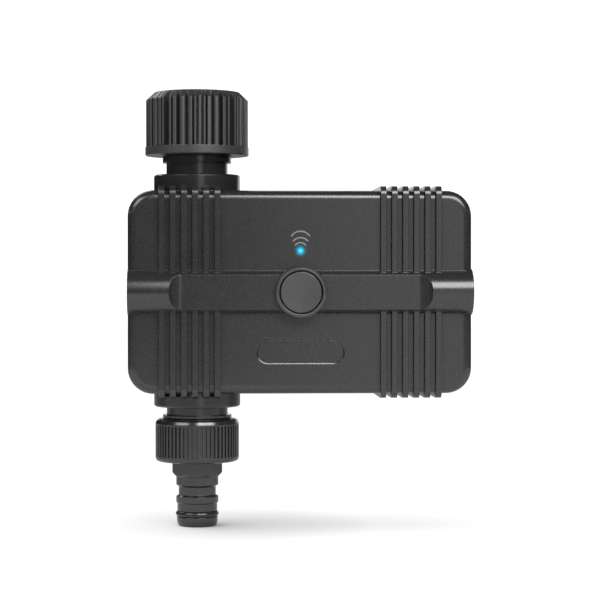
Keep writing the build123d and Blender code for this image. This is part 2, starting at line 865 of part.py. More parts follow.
with BuildPart() as board_connectors:
    for plug_z in (battery_plug_z, motor_plug_z):
        part_on_board(connector_size, board_right - connector_size[0] / 2, plug_z, board_back, 1)
board_connectors.part.label = "board_connectors"
export_step(board_connectors.part, "parts/board_connectors.step")

with BuildPart() as storage_capacitor:
    rod((capacitor_x, board_back, capacitor_z), (0, 1, 0), capacitor_radius, capacitor_height)
    fillet(storage_capacitor.edges().group_by(Axis.Y)[-1], radius=capacitor_edge)
storage_capacitor.part.label = "storage_capacitor"
export_step(storage_capacitor.part, "parts/storage_capacitor.step")


# Leads from the battery tray and the motor to their plugs on the board
def wire(points, shift, bend):
    """One wire of a pair, shifted along Z from the pair's middle, with rounded corners."""
    shifted = [(x, y, z + shift) for x, y, z in points]
    with BuildLine() as wire_line:
        FilletPolyline(*shifted, radius=bend)
    with BuildPart() as wire_part:
        with BuildSketch(wire_line.line ^ 0):
            Circle(lead_radius)
        sweep(path=wire_line.line)
    return wire_part.part


plug_y_middle = board_back + connector_size[1] / 2
battery_route = (
    (tray_x - tray_inner_width / 2 - tray_wall, battery_lead_y, battery_plug_z),
    (battery_lead_x, battery_lead_y, battery_plug_z),
    (battery_lead_x, plug_y_middle, battery_plug_z),
    (board_right, plug_y_middle, battery_plug_z),
)
with BuildPart() as battery_leads:
    for shift in (-lead_spread / 2, lead_spread / 2):
        add(wire(battery_route, shift, lead_bend))
battery_leads.part.label = "battery_leads"
export_step(battery_leads.part, "parts/battery_leads.step")

motor_route = (
    (motor_end + fuse_sink, motor_lead_y, motor_plug_z),
    (motor_lead_x, motor_lead_y, motor_plug_z),
    (motor_lead_x, plug_y_middle, motor_plug_z),
    (board_right, plug_y_middle, motor_plug_z),
)
with BuildPart() as motor_leads:
    for shift in (-lead_spread / 2, lead_spread / 2):
        add(wire(motor_route, shift, motor_lead_bend))
motor_leads.part.label = "motor_leads"
export_step(motor_leads.part, "parts/motor_leads.step")


def nut_ribs_round(rib, crest_radius, count):
    """One kind of rib, the same in every group round the nut."""
    angle, width, roundness = rib
    rib_length = crest_radius - nut_rib_root
    with PolarLocations(nut_rib_root + rib_length / 2, count, start_angle=nut_group_start + angle):
        RectangleRounded(rib_length, width, roundness)


# Inlet nut: a swivel nut with groups of narrow, flat and round ribs between deep grooves
with BuildPart() as inlet_nut:
    with BuildSketch(Plane.XY.offset(-nut_height)):
        Circle(nut_core_radius)
        for nut_rib in nut_ribs:
            nut_ribs_round(nut_rib, nut_radius - nut_rib_drop, nut_groups)
        nut_ribs_round(nut_groove_rib, nut_radius - nut_groove_rib_drop, nut_groups // 3)
    extrude(amount=nut_height)
    band_profile = (
        (nut_thread_radius, -nut_height),
        (nut_radius - nut_edge, -nut_height),
        (nut_radius, nut_edge - nut_height),
        (nut_radius, nut_band_top),
        (nut_thread_radius, nut_band_top),
    )
    revolve(turned_face(band_profile), axis=Axis.Z)
    chamfer_profile = (
        (nut_mouth_radius, cut_past),
        (nut_mouth_radius, 0),
        (nut_radius, -nut_chamfer),
        (nut_radius + cut_past, -nut_chamfer),
        (nut_radius + cut_past, cut_past),
    )
    revolve(turned_face(chamfer_profile), axis=Axis.Z, mode=Mode.SUBTRACT)
    foot_profile = (
        (nut_radius - nut_edge, -nut_height - cut_past),
        (nut_radius - nut_edge, -nut_height),
        (nut_radius, nut_edge - nut_height),
        (nut_radius + cut_past, nut_edge - nut_height),
        (nut_radius + cut_past, -nut_height - cut_past),
    )
    revolve(turned_face(foot_profile), axis=Axis.Z, mode=Mode.SUBTRACT)
    rod((0, 0, nut_shoulder_z), (0, 0, 1), nut_thread_radius, nut_height, Mode.SUBTRACT)
    rod((0, 0, -nut_height), (0, 0, 1), nut_neck_bore, nut_height, Mode.SUBTRACT)
inlet_nut.part.label = "inlet_nut"
export_step(inlet_nut.part, "parts/inlet_nut.step")

# Reducer bush screwed into the nut, for the smaller tap thread
with BuildPart() as inlet_reducer:
    reducer_profile = (
        (reducer_opening, -reducer_length),
        (reducer_radius, -reducer_length),
        (reducer_radius, 0),
        (reducer_bore, 0),
        (reducer_bore, -thread_length),
        (washer_radius + running_gap, -thread_length),
        (washer_radius + running_gap, reducer_shoulder),
        (reducer_opening, reducer_shoulder),
    )
    revolve(turned_face(reducer_profile), axis=Axis.Z)
inlet_reducer.part.label = "inlet_reducer"
export_step(inlet_reducer.part, "parts/inlet_reducer.step")

# Filter washer that the tap seals on, and the coned mesh inside it
washer_top = reducer_shoulder + washer_thickness + touch_gap
with BuildPart() as filter_washer:
    washer_profile = (
        (filter_mesh_radius + touch_gap, reducer_shoulder + touch_gap),
        (washer_radius, reducer_shoulder + touch_gap),
        (washer_radius, washer_top),
        (washer_opening, washer_top),
        (washer_opening, washer_top - 1),
        (filter_mesh_radius + touch_gap, washer_top - 1),
    )
    revolve(turned_face(washer_profile), axis=Axis.Z)
filter_washer.part.label = "filter_washer"
export_step(filter_washer.part, "parts/filter_washer.step")

with BuildPart() as inlet_filter:
    mesh_base = reducer_shoulder + touch_gap
    cone_top = mesh_base + filter_mesh_thickness + filter_cone_rise
    filter_profile = (
        (washer_opening - 1, mesh_base),
        (filter_mesh_radius, mesh_base),
        (filter_mesh_radius, mesh_base + filter_mesh_thickness),
        (washer_opening - 1, mesh_base + filter_mesh_thickness),
        (0, cone_top),
        (0, cone_top - filter_mesh_thickness),
    )
    revolve(turned_face(filter_profile), axis=Axis.Z)
inlet_filter.part.label = "inlet_filter"
export_step(inlet_filter.part, "parts/inlet_filter.step")

# Spigot that the nut turns on, pressed into the valve body
with BuildPart() as inlet_spigot:
    spigot_profile = (
        (water_bore, upper_collar_top - socket_depth + running_gap),
        (socket_radius - running_gap, upper_collar_top - socket_depth + running_gap),
        (socket_radius - running_gap, upper_collar_top),
        (neck_radius, upper_collar_top),
        (neck_radius, clip_bottom - running_gap),
        (clip_groove_radius - running_gap, clip_bottom - running_gap),
        (clip_groove_radius - running_gap, clip_top + running_gap),
        (neck_radius, clip_top + running_gap),
        (neck_radius, spigot_flange_bottom),
        (spigot_flange_radius, spigot_flange_bottom),
        (spigot_flange_radius, spigot_top),
        (spigot_bore, spigot_top),
        (spigot_bore, upper_collar_top),
        (water_bore, upper_collar_top - spigot_bore_taper),
    )
    revolve(turned_face(spigot_profile), axis=Axis.Z)
inlet_spigot.part.label = "inlet_spigot"
export_step(inlet_spigot.part, "parts/inlet_spigot.step")

with BuildPart() as spigot_washer:
    spigot_washer_top = -reducer_length - washer_play
    spigot_washer_profile = (
        (spigot_bore, spigot_top + touch_gap),
        (spigot_flange_radius - spigot_washer_inset, spigot_top + touch_gap),
        (spigot_flange_radius - spigot_washer_inset, spigot_washer_top),
        (spigot_bore, spigot_washer_top),
    )
    revolve(turned_face(spigot_washer_profile), axis=Axis.Z)
spigot_washer.part.label = "spigot_washer"
export_step(spigot_washer.part, "parts/spigot_washer.step")

# Split ring that snaps into the spigot's groove and keeps the nut up
with BuildPart() as nut_clip:
    clip_profile = (
        (clip_groove_radius, clip_bottom),
        (clip_radius, clip_bottom),
        (clip_radius, clip_top),
        (clip_groove_radius, clip_top),
    )
    revolve(turned_face(clip_profile), axis=Axis.Z)
    block((-clip_mouth / 2, 0, clip_bottom - 1), (clip_mouth / 2, 2 * clip_radius, clip_top + 1),
          Mode.SUBTRACT)
nut_clip.part.label = "nut_clip"
export_step(nut_clip.part, "parts/nut_clip.step")

# Valve body: upper collar, pipe, ball chamber and the boss for the stem
upper_stop = casing_top - casing_wall - stop_flange_gap
upper_groove = casing_top - collar_groove_inset - collar_groove_width / 2
with BuildPart() as valve_body:
    body_profile = (
        (water_bore, casing_z + seat_reach),
        (chamber_bore, casing_z + seat_reach),
        (chamber_bore, chamber_bottom),
        (chamber_radius, chamber_bottom),
        (chamber_radius, chamber_top),
        (chamber_neck_radius, chamber_top + chamber_neck_taper),
        (chamber_neck_radius, upper_stop - stop_flange_height - upper_stop_taper),
        (stop_flange_radius, upper_stop - stop_flange_height),
        (stop_flange_radius, upper_stop),
        (collar_radius, upper_stop),
        (collar_radius, upper_groove - collar_groove_width / 2),
        (collar_radius - collar_groove_depth, upper_groove - collar_groove_width / 2),
        (collar_radius - collar_groove_depth, upper_groove + collar_groove_width / 2),
        (collar_radius, upper_groove + collar_groove_width / 2),
        (collar_radius, upper_collar_top - collar_edge),
        (collar_radius - collar_edge, upper_collar_top),
        (socket_radius, upper_collar_top),
        (socket_radius, upper_collar_top - socket_depth),
        (water_bore, upper_collar_top - socket_depth),
    )
    revolve(turned_face(body_profile), axis=Axis.Z)
    rod((chamber_bore + 1, 0, casing_z), (1, 0, 0), stem_boss_radius, stem_boss_end - chamber_bore - 1)
    rod((stem_boss_end - 1, 0, casing_z), (1, 0, 0), stem_boss_spigot, box_wall + 1)
    rod((0, 0, casing_z), (1, 0, 0), stem_radius + running_gap, 2 * stem_boss_end, Mode.SUBTRACT)
    rod((0, 0, casing_z), (1, 0, 0), stem_pocket_radius, stem_pocket_end, Mode.SUBTRACT)
valve_body.part.label = "valve_body"
export_step(valve_body.part, "parts/valve_body.step")

# Seats on each side of the ball
for seat_name, seat_side in (("upper_seat", 1), ("lower_seat", -1)):
    with BuildPart() as ball_seat:
        seat_low = casing_z + seat_side * seat_start
        seat_high = casing_z + seat_side * (seat_reach - touch_gap)
        seat_profile = (
            (seat_opening, seat_low),
            (chamber_bore - running_gap, seat_low + seat_side * seat_lip),
            (chamber_bore - running_gap, seat_high),
            (seat_opening, seat_high),
        )
        revolve(turned_face(seat_profile), axis=Axis.Z)
        with Locations((0, 0, casing_z)):
            Sphere(ball_radius + ball_gap, mode=Mode.SUBTRACT)
        rod((0, 0, casing_z), (1, 0, 0), stem_pocket_radius + running_gap, 2 * chamber_radius, Mode.SUBTRACT)
    ball_seat.part.label = seat_name
    export_step(ball_seat.part, f"parts/{seat_name}.step")

# Ball with its water way and the slot that the stem turns it by
with BuildPart() as valve_ball:
    with Locations((0, 0, casing_z)):
        Sphere(ball_radius)
    rod((0, 0, casing_z - 2 * ball_radius), (0, 0, 1), ball_bore, 4 * ball_radius, Mode.SUBTRACT)
    block((ball_slot_floor, -ball_slot_width / 2, casing_z - ball_radius),
          (ball_radius + 1, ball_slot_width / 2, casing_z + ball_radius), Mode.SUBTRACT)
valve_ball.part.label = "valve_ball"
export_step(valve_ball.part, "parts/valve_ball.step")

# Stem: a tang in the ball's slot, a flange, two seal grooves and a flatted end for the gear
with BuildPart() as valve_stem:
    rod((stem_tang_start, 0, casing_z), (1, 0, 0), stem_tang_height / 2, stem_flange_start - stem_tang_start)
    for tang_side in (-1, 1):
        tang_faces = sorted((tang_side * stem_tang_width / 2, tang_side * stem_radius))
        block((0, tang_faces[0], casing_z - stem_radius),
              (stem_flange_start, tang_faces[1], casing_z + stem_radius), Mode.SUBTRACT)
    rod((stem_flange_start, 0, casing_z), (1, 0, 0), stem_flange_radius, stem_flange_end - stem_flange_start)
    rod((stem_flange_end, 0, casing_z), (1, 0, 0), stem_radius, stem_end - stem_flange_end)
    for groove_x in stem_seal_places:
        groove_profile = (
            (stem_groove_radius, groove_x - stem_groove_width / 2),
            (stem_radius + cut_past, groove_x - stem_groove_width / 2),
            (stem_radius + cut_past, groove_x + stem_groove_width / 2),
            (stem_groove_radius, groove_x + stem_groove_width / 2),
        )
        revolve(turned_face(groove_profile, stem_plane), axis=stem_axis, mode=Mode.SUBTRACT)
    block((output_gear_start - gear_hub_wall, stem_flat, casing_z - stem_radius),
          (stem_end + cut_past, stem_radius + cut_past, casing_z + stem_radius), Mode.SUBTRACT)
    rod((stem_end - stem_screw_hole, 0, casing_z), (1, 0, 0), box_screw_radius, 2 * stem_screw_hole,
        Mode.SUBTRACT)
valve_stem.part.label = "valve_stem"
export_step(valve_stem.part, "parts/valve_stem.step")

with BuildPart() as stem_seals:
    for groove_x in stem_seal_places:
        ring_middle = stem_radius - stem_seal_section
        with Locations(Plane(origin=(groove_x, 0, casing_z), z_dir=(1, 0, 0))):
            Torus(ring_middle, stem_seal_section)
stem_seals.part.label = "stem_seals"
export_step(stem_seals.part, "parts/stem_seals.step")

# Lower spigot: closes the ball chamber, passes the casing and carries the outlet thread
lower_stop = casing_bottom + casing_wall + stop_flange_gap
lower_groove = casing_bottom + collar_groove_inset + collar_groove_width / 2
with BuildPart() as outlet_spigot:
    outlet_profile = (
        (water_bore, outlet_plug_top),
        (chamber_bore - running_gap, outlet_plug_top),
        (chamber_bore - running_gap, chamber_bottom - touch_gap),
        (chamber_radius, chamber_bottom - touch_gap),
        (chamber_radius, outlet_flange_bottom),
        (pipe_radius, outlet_flange_bottom),
        (pipe_radius, lower_stop + stop_flange_height + lower_stop_taper),
        (stop_flange_radius, lower_stop + stop_flange_height),
        (stop_flange_radius, lower_stop),
        (collar_radius, lower_stop),
        (collar_radius, lower_groove + collar_groove_width / 2),
        (collar_radius - collar_groove_depth, lower_groove + collar_groove_width / 2),
        (collar_radius - collar_groove_depth, lower_groove - collar_groove_width / 2),
        (collar_radius, lower_groove - collar_groove_width / 2),
        (collar_radius, lower_collar_bottom + collar_edge),
        (collar_radius - collar_edge, lower_collar_bottom),
        (outlet_neck_radius, lower_collar_bottom),
        (outlet_neck_radius, outlet_flange_top_z),
        (outlet_rim_radius, outlet_flange_top_z),
        (outlet_rim_radius, outlet_rim_bottom),
        (outlet_thread_radius, outlet_rim_bottom),
        (outlet_thread_radius, outlet_thread_end),
        (water_bore, outlet_thread_end),
    )
    revolve(turned_face(outlet_profile), axis=Axis.Z)
outlet_spigot.part.label = "outlet_spigot"
export_step(outlet_spigot.part, "parts/outlet_spigot.step")

# Seal rings between the collars and the casing walls
with BuildPart() as collar_seals:
    for seal_z in (upper_groove, lower_groove):
        with Locations((0, 0, seal_z)):
            Torus(collar_radius - collar_seal_radius, collar_seal_radius)
collar_seals.part.label = "collar_seals"
export_step(collar_seals.part, "parts/collar_seals.step")

# Outlet adapter: a finely ribbed nut and a quick-coupling nipple in one piece
with BuildPart() as outlet_adapter:
    adapter_profile = (
        (adapter_bore, adapter_top),
        (outlet_rim_radius, adapter_top),
        (adapter_radius - adapter_shoulder_run, adapter_top - adapter_shoulder_slope),
        (adapter_radius - adapter_side_step, adapter_top - adapter_shoulder_step),
        (adapter_radius, adapter_top - adapter_shoulder),
        (adapter_radius, adapter_bottom + adapter_edge),
        (adapter_radius - adapter_side_step, adapter_bottom + adapter_foot_step),
        (adapter_radius - adapter_edge, adapter_bottom),
        (latch_ring_radius, adapter_bottom),
        (latch_ring_radius, latch_ring_bottom),
        (latch_neck_radius, latch_neck_top),
        (latch_neck_radius, latch_neck_bottom),
        (latch_ring_radius, nose_ring_top),
        (latch_ring_radius, nose_ring_bottom),
        (nose_radius, nose_top),
        (nose_radius, seal_groove_top),
        (seal_groove_radius, seal_groove_top),
        (seal_groove_radius, seal_groove_bottom),
        (tip_radius, seal_groove_bottom),
        (tip_radius, nipple_end + tip_taper),
        (tip_radius - tip_step, nipple_end + tip_nose),
        (tip_end_radius, nipple_end),
        (nipple_bore, nipple_end),
        (nipple_bore, adapter_floor),
        (adapter_bore, adapter_floor),
    )
    revolve(turned_face(adapter_profile), axis=Axis.Z)
    with BuildSketch(Plane.XY.offset(adapter_groove_bottom)):
        with PolarLocations(adapter_radius, adapter_grooves):
            Rectangle(2 * adapter_groove_depth, adapter_groove_width)
    extrude(amount=adapter_groove_top - adapter_groove_bottom, mode=Mode.SUBTRACT)
    with BuildSketch(Plane.XY.offset(adapter_bottom + fuse_sink)):
        RegularPolygon(hex_corner_radius, 6)
        Circle(nipple_bore + fuse_sink, mode=Mode.SUBTRACT)
    extrude(amount=adapter_bottom + fuse_sink - hex_chamfer_end, dir=(0, 0, -1))
    hex_cone_profile = (
        (latch_ring_radius, hex_chamfer_end),
        (hex_corner_radius, hex_bottom),
        (hex_corner_radius + cut_past, hex_bottom),
        (hex_corner_radius + cut_past, hex_chamfer_end - cut_past),
        (latch_ring_radius, hex_chamfer_end - cut_past),
    )
    revolve(turned_face(hex_cone_profile), axis=Axis.Z, mode=Mode.SUBTRACT)
outlet_adapter.part.label = "outlet_adapter"
export_step(outlet_adapter.part, "parts/outlet_adapter.step")

with BuildPart() as outlet_washer:
    outlet_washer_profile = (
        (outlet_washer_opening, adapter_floor + touch_gap),
        (outlet_washer_radius, adapter_floor + touch_gap),
        (outlet_washer_radius, outlet_washer_top),
        (outlet_washer_opening, outlet_washer_top),
    )
    revolve(turned_face(outlet_washer_profile), axis=Axis.Z)
outlet_washer.part.label = "outlet_washer"
export_step(outlet_washer.part, "parts/outlet_washer.step")

with BuildPart() as nipple_seal:
    with Locations((0, 0, nipple_seal_z)):
        Torus(seal_groove_radius + nipple_seal_section, nipple_seal_section)
nipple_seal.part.label = "nipple_seal"
export_step(nipple_seal.part, "parts/nipple_seal.step")

# Gears. The angle of each first tooth follows from the tooth that it meshes with.
output_first_tooth = 0.0
second_direction = -90.0
second_pinion_tooth = meshing_tooth(second_direction, output_teeth, output_first_tooth, pinion_teeth)
first_direction = degrees(atan2(first_z - second_z, first_y - second_y))
first_pinion_tooth = meshing_tooth(first_direction, wheel_teeth, second_pinion_tooth, pinion_teeth)
motor_direction = degrees(atan2(motor_z - first_z, motor_y - first_y))
motor_pinion_tooth = meshing_tooth(motor_direction, wheel_teeth, first_pinion_tooth, pinion_teeth)

with BuildPart() as output_gear:
    output_plane = facing_right(output_gear_start, 0, casing_z)
    extrude(gear_face(output_module, output_teeth, output_plane, output_first_tooth),
            amount=output_gear_end - output_gear_start)
    rod((output_gear_start - gear_hub_reach, 0, casing_z), (1, 0, 0), stem_radius + gear_hub_wall,
        gear_hub_reach + fuse_sink)
    with BuildSketch(facing_right(output_gear_start - 2 * gear_hub_reach, 0, casing_z)):
        Circle(stem_radius + touch_gap)
        with Locations((stem_flat + touch_gap + stem_radius, 0)):
            Rectangle(2 * stem_radius, 4 * stem_radius, mode=Mode.SUBTRACT)
    extrude(amount=output_gear_end - output_gear_start + 3 * gear_hub_reach, mode=Mode.SUBTRACT)
    rod((output_gear_end - magnet_length, -magnet_reach, casing_z), (1, 0, 0), magnet_radius + touch_gap,
        magnet_length + cut_past, Mode.SUBTRACT)
output_gear.part.label = "output_gear"
export_step(output_gear.part, "parts/output_gear.step")

with BuildPart() as position_magnet:
    rod((output_gear_end - magnet_length, -magnet_reach, casing_z), (1, 0, 0), magnet_radius, magnet_length)
position_magnet.part.label = "position_magnet"
export_step(position_magnet.part, "parts/position_magnet.step")

with BuildPart() as stem_screw:
    rod((output_gear_end + touch_gap, 0, casing_z), (1, 0, 0), box_screw_head, stem_screw_head_height)
    rod((stem_end + fuse_sink, 0, casing_z), (-1, 0, 0), box_screw_radius - touch_gap, stem_screw_hole)
stem_screw.part.label = "stem_screw"
export_step(stem_screw.part, "parts/stem_screw.step")

# A compound gear's name, axis, wheel (module, start, end) and pinion (module, start, end)
compound_gears = (
    ("second_gear", second_y, second_z, second_pinion_tooth, second_module, second_wheel_start,
     second_wheel_end, output_module, output_gear_start, second_wheel_start),
    ("first_gear", first_y, first_z, first_pinion_tooth, first_module, first_wheel_start,
     first_wheel_end, second_module, second_wheel_start, first_wheel_start),
)
for (gear_name, gear_y, gear_z, first_tooth, wheel_module, wheel_start,
     wheel_end, pinion_module, pinion_start, pinion_end) in compound_gears:
    with BuildPart() as compound_gear:
        wheel_plane = facing_right(wheel_start, gear_y, gear_z)
        extrude(gear_face(wheel_module, wheel_teeth, wheel_plane, first_tooth),
                amount=wheel_end - wheel_start)
        pinion_plane = facing_right(pinion_start, gear_y, gear_z)
        extrude(gear_face(pinion_module, pinion_teeth, pinion_plane, first_tooth),
                amount=pinion_end - pinion_start + touch_gap)
        rod((pinion_start - cut_past, gear_y, gear_z), (1, 0, 0), axle_bore, box_end, Mode.SUBTRACT)
    compound_gear.part.label = gear_name
    export_step(compound_gear.part, f"parts/{gear_name}.step")

# The first gear's axle is held by the cover alone, clear of the output gear
axle_places = (
    (box_start + fuse_sink, second_y, second_z),
    (output_gear_end + first_axle_gap, first_y, first_z),
)
axle_end = box_cover_end - fuse_sink
with BuildPart() as gear_axles:
    for axle_start, axle_y, axle_z in axle_places:
        rod((axle_start, axle_y, axle_z), (1, 0, 0), axle_radius, axle_end - axle_start)
gear_axles.part.label = "gear_axles"
export_step(gear_axles.part, "parts/gear_axles.step")

with BuildPart() as motor_pinion:
    extrude(gear_face(first_module, pinion_teeth, facing_right(first_wheel_start, motor_y, motor_z),
                      motor_pinion_tooth), amount=motor_pinion_end - first_wheel_start)
    shaft_length = motor_end - first_wheel_start - 2
    rod((first_wheel_start, motor_y, motor_z), (1, 0, 0), motor_shaft_radius, shaft_length)
motor_pinion.part.label = "motor_pinion"
export_step(motor_pinion.part, "parts/motor_pinion.step")

# Gearbox housing, open towards the motor, and its cover
box_mid_y = (box_front + box_rear) / 2
box_mid_z = (box_top + box_bottom) / 2
box_screws_at = []
for screw_y in (box_front + box_screw_inset, box_rear - box_screw_inset):
    for screw_z in (box_bottom + box_screw_inset, box_top - box_screw_inset):
        box_screws_at.append((screw_y, screw_z))


def box_outline(x, inset):
    """The gearbox's rounded outline at a distance along X."""
    with BuildSketch(facing_right(x)) as outline:
        with Locations((box_mid_y, box_mid_z)):
            width = box_rear - box_front - 2 * inset
            height = box_top - box_bottom - 2 * inset
            RectangleRounded(width, height, box_corner - inset)
    return outline.sketch


with BuildPart() as gearbox_housing:
    extrude(box_outline(box_start, 0), amount=box_end - box_start)
    extrude(box_outline(box_start + box_wall, box_wall), amount=box_end - box_start, mode=Mode.SUBTRACT)
    for screw_y, screw_z in box_screws_at:
        post_start = box_start + fuse_sink
        rod((post_start, screw_y, screw_z), (1, 0, 0), box_post_radius, box_end - post_start)
        rod((box_end - box_screw_hole, screw_y, screw_z), (1, 0, 0), box_screw_radius + touch_gap,
            box_screw_hole + cut_past, Mode.SUBTRACT)
    rod((box_start + fuse_sink, second_y, second_z), (1, 0, 0), 2 * axle_radius, box_wall + fuse_sink)
    rod((box_start + axle_socket, second_y, second_z), (1, 0, 0), axle_radius + touch_gap, 3 * box_wall,
        Mode.SUBTRACT)
    rod((box_start - cut_past, 0, casing_z), (1, 0, 0), stem_boss_spigot + touch_gap,
        box_wall + 2 * cut_past, Mode.SUBTRACT)
gearbox_housing.part.label = "gearbox_housing"
export_step(gearbox_housing.part, "parts/gearbox_housing.step")

with BuildPart() as gearbox_cover:
    extrude(box_outline(box_end + touch_gap, 0), amount=box_cover_end - box_end - touch_gap)
    for screw_y, screw_z in box_screws_at:
        rod((box_end - cut_past, screw_y, screw_z), (1, 0, 0), box_screw_radius + running_gap,
            box_wall + 2 * cut_past, Mode.SUBTRACT)
    for axle_y, axle_z in ((second_y, second_z), (first_y, first_z)):
        rod((axle_end + touch_gap, axle_y, axle_z), (-1, 0, 0), axle_radius + touch_gap, box_wall,
            Mode.SUBTRACT)
    rod((box_end - cut_past, motor_y, motor_z), (1, 0, 0), motor_boss_radius + touch_gap,
        box_wall + 2 * cut_past, Mode.SUBTRACT)
gearbox_cover.part.label = "gearbox_cover"
export_step(gearbox_cover.part, "parts/gearbox_cover.step")

with BuildPart() as gearbox_screws:
    for screw_y, screw_z in box_screws_at:
        head_start = box_cover_end + touch_gap
        rod((head_start + fuse_sink, screw_y, screw_z), (-1, 0, 0), box_screw_radius,
            box_screw_length + box_wall)
        rod((head_start, screw_y, screw_z), (1, 0, 0), box_screw_head, box_screw_head_height)
gearbox_screws.part.label = "gearbox_screws"
export_step(gearbox_screws.part, "parts/gearbox_screws.step")

# Motor can with two flats, held on the gearbox cover
with BuildPart() as motor:
    with BuildSketch(facing_right(box_cover_end + touch_gap, motor_y, motor_z)):
        Circle(motor_width / 2)
        Rectangle(motor_flat, 2 * motor_width, mode=Mode.INTERSECT)
    extrude(amount=motor_end - box_cover_end)
    rod((box_cover_end + fuse_sink, motor_y, motor_z), (-1, 0, 0), motor_boss_radius, box_wall + fuse_sink)
    rod((0, motor_y, motor_z), (1, 0, 0), motor_shaft_radius + running_gap, motor_end - cut_past,
        Mode.SUBTRACT)
motor.part.label = "motor"
export_step(motor.part, "parts/motor.step")

# Battery tray, open at the rear
tray_left = tray_x - tray_inner_width / 2
tray_right = tray_x + tray_inner_width / 2
tray_low = casing_z - tray_inner_height / 2
tray_high = casing_z + tray_inner_height / 2
with BuildPart() as battery_tray:
    block((tray_left - tray_wall, tray_floor, tray_low - tray_wall),
          (tray_right + tray_wall, tray_mouth, tray_high + tray_wall))
    block((tray_left, tray_floor + tray_wall, tray_low), (tray_right, tray_mouth + 1, tray_high),
          Mode.SUBTRACT)
    for screw_x, screw_z in cover_screw_places:
        rod((screw_x, 0, screw_z), (0, 1, 0), cover_screw_recess + running_gap, rear_depth, Mode.SUBTRACT)
battery_tray.part.label = "battery_tray"
export_step(battery_tray.part, "parts/battery_tray.step")

# Four cells, turned end for end beside each other
cell_places = []
for row, cell_y in enumerate(cell_rows):
    for column, side_x in enumerate((-1, 1)):
        nub_side = 1 if (row + column) % 2 == 0 else -1
        cell_places.append((tray_x + side_x * cell_pitch_x / 2, cell_y, nub_side))
contact_face = tray_inner_height / 2 - contact_thickness - 2 * touch_gap
with BuildPart() as battery_cells:
    for cell_x, cell_y, nub_side in cell_places:
        nub_z = casing_z + nub_side * (contact_face - touch_gap)
        rod((cell_x, cell_y, nub_z), (0, 0, -nub_side), cell_nub_radius, cell_nub_length + 1)
        rod((cell_x, cell_y, nub_z - nub_side * cell_nub_length), (0, 0, -nub_side), cell_radius, cell_length)
battery_cells.part.label = "battery_cells"
export_step(battery_cells.part, "parts/battery_cells.step")

# Flat contacts at the nubs and bent leaf contacts at the other ends
with BuildPart() as flat_contacts:
    for cell_x, cell_y, nub_side in cell_places:
        outer = casing_z + nub_side * (tray_inner_height / 2 - touch_gap)
        inner = casing_z + nub_side * contact_face
        block((cell_x - contact_width / 2, cell_y - contact_width / 2, min(outer, inner)),
              (cell_x + contact_width / 2, cell_y + contact_width / 2, max(outer, inner)))
flat_contacts.part.label = "flat_contacts"
export_step(flat_contacts.part, "parts/flat_contacts.step")

cell_total = cell_length + cell_nub_length
leaf_room = tray_inner_height - contact_thickness - cell_total - 5 * touch_gap
with BuildPart() as leaf_contacts:
    for cell_x, cell_y, nub_side in cell_places:
        leaf_wall = -nub_side * (tray_inner_height / 2 - touch_gap - contact_thickness / 2)
        leaf_tip = leaf_wall + nub_side * (leaf_room - 2 * contact_thickness)
        with BuildSketch(Plane(origin=(cell_x, cell_y + contact_width / 2, casing_z),
                               x_dir=(1, 0, 0), z_dir=(0, -1, 0))):
            with BuildLine() as leaf_line:
                Polyline(
                    (contact_width / 2, leaf_wall), (-contact_width / 2, leaf_wall),
                    (0, leaf_tip), (contact_width / 3, leaf_wall + nub_side * leaf_room / 3),
                )
            trace(leaf_line.line, line_width=contact_thickness)
        extrude(amount=contact_width)
leaf_contacts.part.label = "leaf_contacts"
export_step(leaf_contacts.part, "parts/leaf_contacts.step")

# Battery cover, flush with the rear face, with its seal and captive screws
with BuildPart() as battery_cover:
    extrude(
        rounded_frame(cover_width, cover_height, cover_corner, facing_front(rear_depth), tray_x, casing_z),
        amount=rear_depth - cover_back,
    )
    chamfer(battery_cover.faces().sort_by(Axis.Y)[-1].edges(), length=cover_chamfer)
    for screw_x, screw_z in cover_screw_places:
        rod((screw_x, 0, screw_z), (0, 1, 0), cover_screw_bore + touch_gap, 2 * rear_depth, Mode.SUBTRACT)
        rod((screw_x, cover_screw_seat, screw_z), (0, 1, 0), cover_screw_recess, rear_depth, Mode.SUBTRACT)
    grip_middle = casing_z - cover_screw_z + cover_grip_rise
    for grip_step in (-1, 0, 1):
        with BuildSketch(facing_front(rear_depth + cut_past)):
            with Locations((tray_x, grip_middle + 2 * grip_step * cover_grip_width)):
                SlotOverall(cover_grip_length, cover_grip_width)
        extrude(amount=cover_grip_depth + cut_past, mode=Mode.SUBTRACT)
battery_cover.part.label = "battery_cover"
export_step(battery_cover.part, "parts/battery_cover.step")

with BuildPart() as cover_seal:
    with BuildSketch(facing_front(cover_back - touch_gap)):
        with Locations((tray_x, casing_z)):
            seal_span = tray_inner_width + 2 * (cover_seal_width + cover_seal_gap)
            seal_rise = tray_inner_height + 2 * (cover_seal_width + cover_seal_gap)
            RectangleRounded(seal_span, seal_rise, cover_seal_corner)
            RectangleRounded(
                seal_span - 2 * cover_seal_width, seal_rise - 2 * cover_seal_width,
                cover_seal_corner - cover_seal_width, mode=Mode.SUBTRACT,
            )
    extrude(amount=cover_back - cover_seat - 2 * touch_gap)
cover_seal.part.label = "cover_seal"
export_step(cover_seal.part, "parts/cover_seal.step")

with BuildPart() as cover_screws:
    for screw_x, screw_z in cover_screw_places:
        shank_length = cover_screw_seat - cover_screw_tip + fuse_sink
        rod((screw_x, cover_screw_tip, screw_z), (0, 1, 0), cover_screw_radius, shank_length)
        head_start = cover_screw_seat + touch_gap
        rod((screw_x, head_start, screw_z), (0, 1, 0), cover_screw_head, cover_screw_head_height)
        screw_slot((screw_x, head_start + cover_screw_head_height, screw_z), *cover_slot)
cover_screws.part.label = "cover_screws"
export_step(cover_screws.part, "parts/cover_screws.step")
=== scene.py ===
"""Smart water timer: finishes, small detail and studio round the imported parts. Metres, +Z up, front -Y."""
import math

